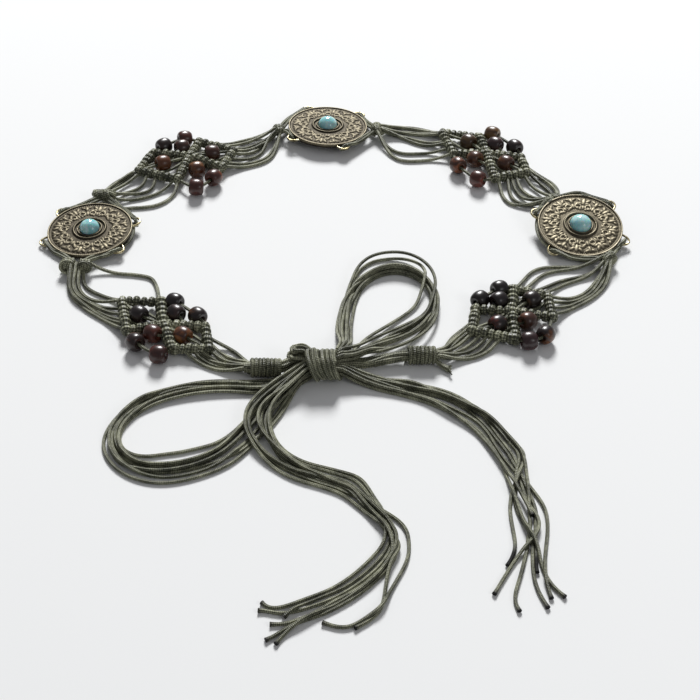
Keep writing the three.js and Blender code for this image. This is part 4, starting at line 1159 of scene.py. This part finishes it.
for side in ("left", "right"):
    spec = wraps[side]
    low, high = np.array(spec["from"], float), np.array(spec["to"], float)
    turnsLine = coil((low + high) / 2, high - low, spec["turns"], spec["size"], spec["size"],
                     np.linalg.norm(high - low), spec["cord"], lean=0.14, seed=8, uneven=0.06)
    lines = [place(turnsLine)] + bundleLines(spec["bundle"], 8, 4 + len(side))
    sizes = [spec["cord"] / 1000] + [0.002] * 8
    if side == "right":
        stub = smoothLine(place(wraps["stub"]))
        lines.append(stub)
        sizes.append(np.interp(np.arange(len(stub)), [0, len(stub) - 4, len(stub) - 1],
                               [2.6, 2.6, 3.3]) / 1000)
        for k in range(9):  # the frayed end: yarns that come apart
            spin = 2 * math.pi * k / 9
            step = np.array([1.6, -1.2 + 1.5 * math.cos(spin), 0.4 + 0.9 * math.sin(spin)]) / 1000
            root = stub[-2] + np.array([0, math.cos(spin), math.sin(spin)]) * 0.0008
            lines.append(smoothLine([root, root + step * 0.6, root + step * (1 + 0.25 * (k % 3))], 0.0005))
            sizes.append(0.0006)
    finishPiece(sweepCords(f"gathering_wrap_{side}", lines, sizes, cordMaterial, 12), "cord",
                f"wrap_{side}")

spec = wraps["bow"]
turnsLine = coil(spec["at"], (1, 0, 0), spec["turns"], spec["wide"], spec["high"], 2 * spec["half"] - 1,
                 spec["cord"], lean=-0.34, seed=12, bulge=0.12, uneven=0.14)
knotLines, knotSizes = [place(turnsLine)], [spec["cord"] / 1000]
for reach, y, z, slant in wraps["folds"]:
    bend = np.linspace(-math.pi / 2, math.pi / 2, 9)
    turnBack = [(reach + 2.1 - 2.1 * math.cos(t), y - slant + 2.0 * math.sin(t),
                 z + slant * math.sin(t)) for t in bend]
    route = ([(-16, -21, z - 1.5), (-23, y - 2.6, z + 0.6 - slant)] + turnBack
             + [(-23, y + 1.2, z + 0.6 + slant), (-16, -19, z - 1)])
    knotLines.append(smoothLine(place(route)))
    knotSizes.append(0.0019)
finishPiece(sweepCords("bow_knot_turns", knotLines, knotSizes, cordMaterial, 12), "cord", "bow_knot")
print("wraps and knot made")

# table and light
floorMesh = bpy.data.meshes.new("table")
floorMesh.from_pydata([(-6, -6, 0), (6, -6, 0), (6, 6, 0), (-6, 6, 0)], [], [(0, 1, 2, 3)])
floor = bpy.data.objects.new("table", floorMesh)
scene.collection.objects.link(floor)
floorMaterial, floorTree, floorShader = startMaterial("paleMattPaper")
# matt paper sheet: almost white, with a hardly visible tooth
paperSpot = addNode(floorTree, "ShaderNodeTexCoord")
tooth = addNode(floorTree, "ShaderNodeTexNoise", {"Scale": patternScale(1.111)},
                {"Vector": paperSpot.outputs["Object"]})
paperBump = addNode(floorTree, "ShaderNodeBump", {"Strength": 0.05, "Distance": 0.0001},
                    {"Height": tooth.outputs[0]})
floorTree.links.new(paperBump.outputs[0], floorShader.inputs["Normal"])
floorShader.inputs["Base Color"].default_value = linear("#eff0f0")
floorShader.inputs["Roughness"].default_value = 1.0
floorShader.inputs["Specular IOR Level"].default_value = 0.15
floorMesh.materials.append(floorMaterial)

studio = {"sky": 0.22, "key": 325, "fill": 1.8}
world = bpy.data.worlds.new("studio")
world.use_nodes = True
world.node_tree.nodes["Background"].inputs["Color"].default_value = linear("#fbfbff")
world.node_tree.nodes["Background"].inputs["Strength"].default_value = studio["sky"]
scene.world = world
scene.view_settings.view_transform = "Standard"


def softLight(name, at, aim, size, power):
    data = bpy.data.lights.new(name, "AREA")
    data.shape, data.size, data.energy = "DISK", size, power
    lamp = bpy.data.objects.new(name, data)
    lamp.location = at
    lamp.rotation_euler = (Vector(aim) - Vector(at)).to_track_quat("-Z", "Y").to_euler()
    scene.collection.objects.link(lamp)


softLight("keyLight", (0.1, 3.9, 2.9), (0, 0.0, 0), 1.5, studio["key"])
softLight("fillLight", (0.9, -0.9, 0.8), (0, -0.05, 0), 0.5, studio["fill"])
print("table and lights placed")
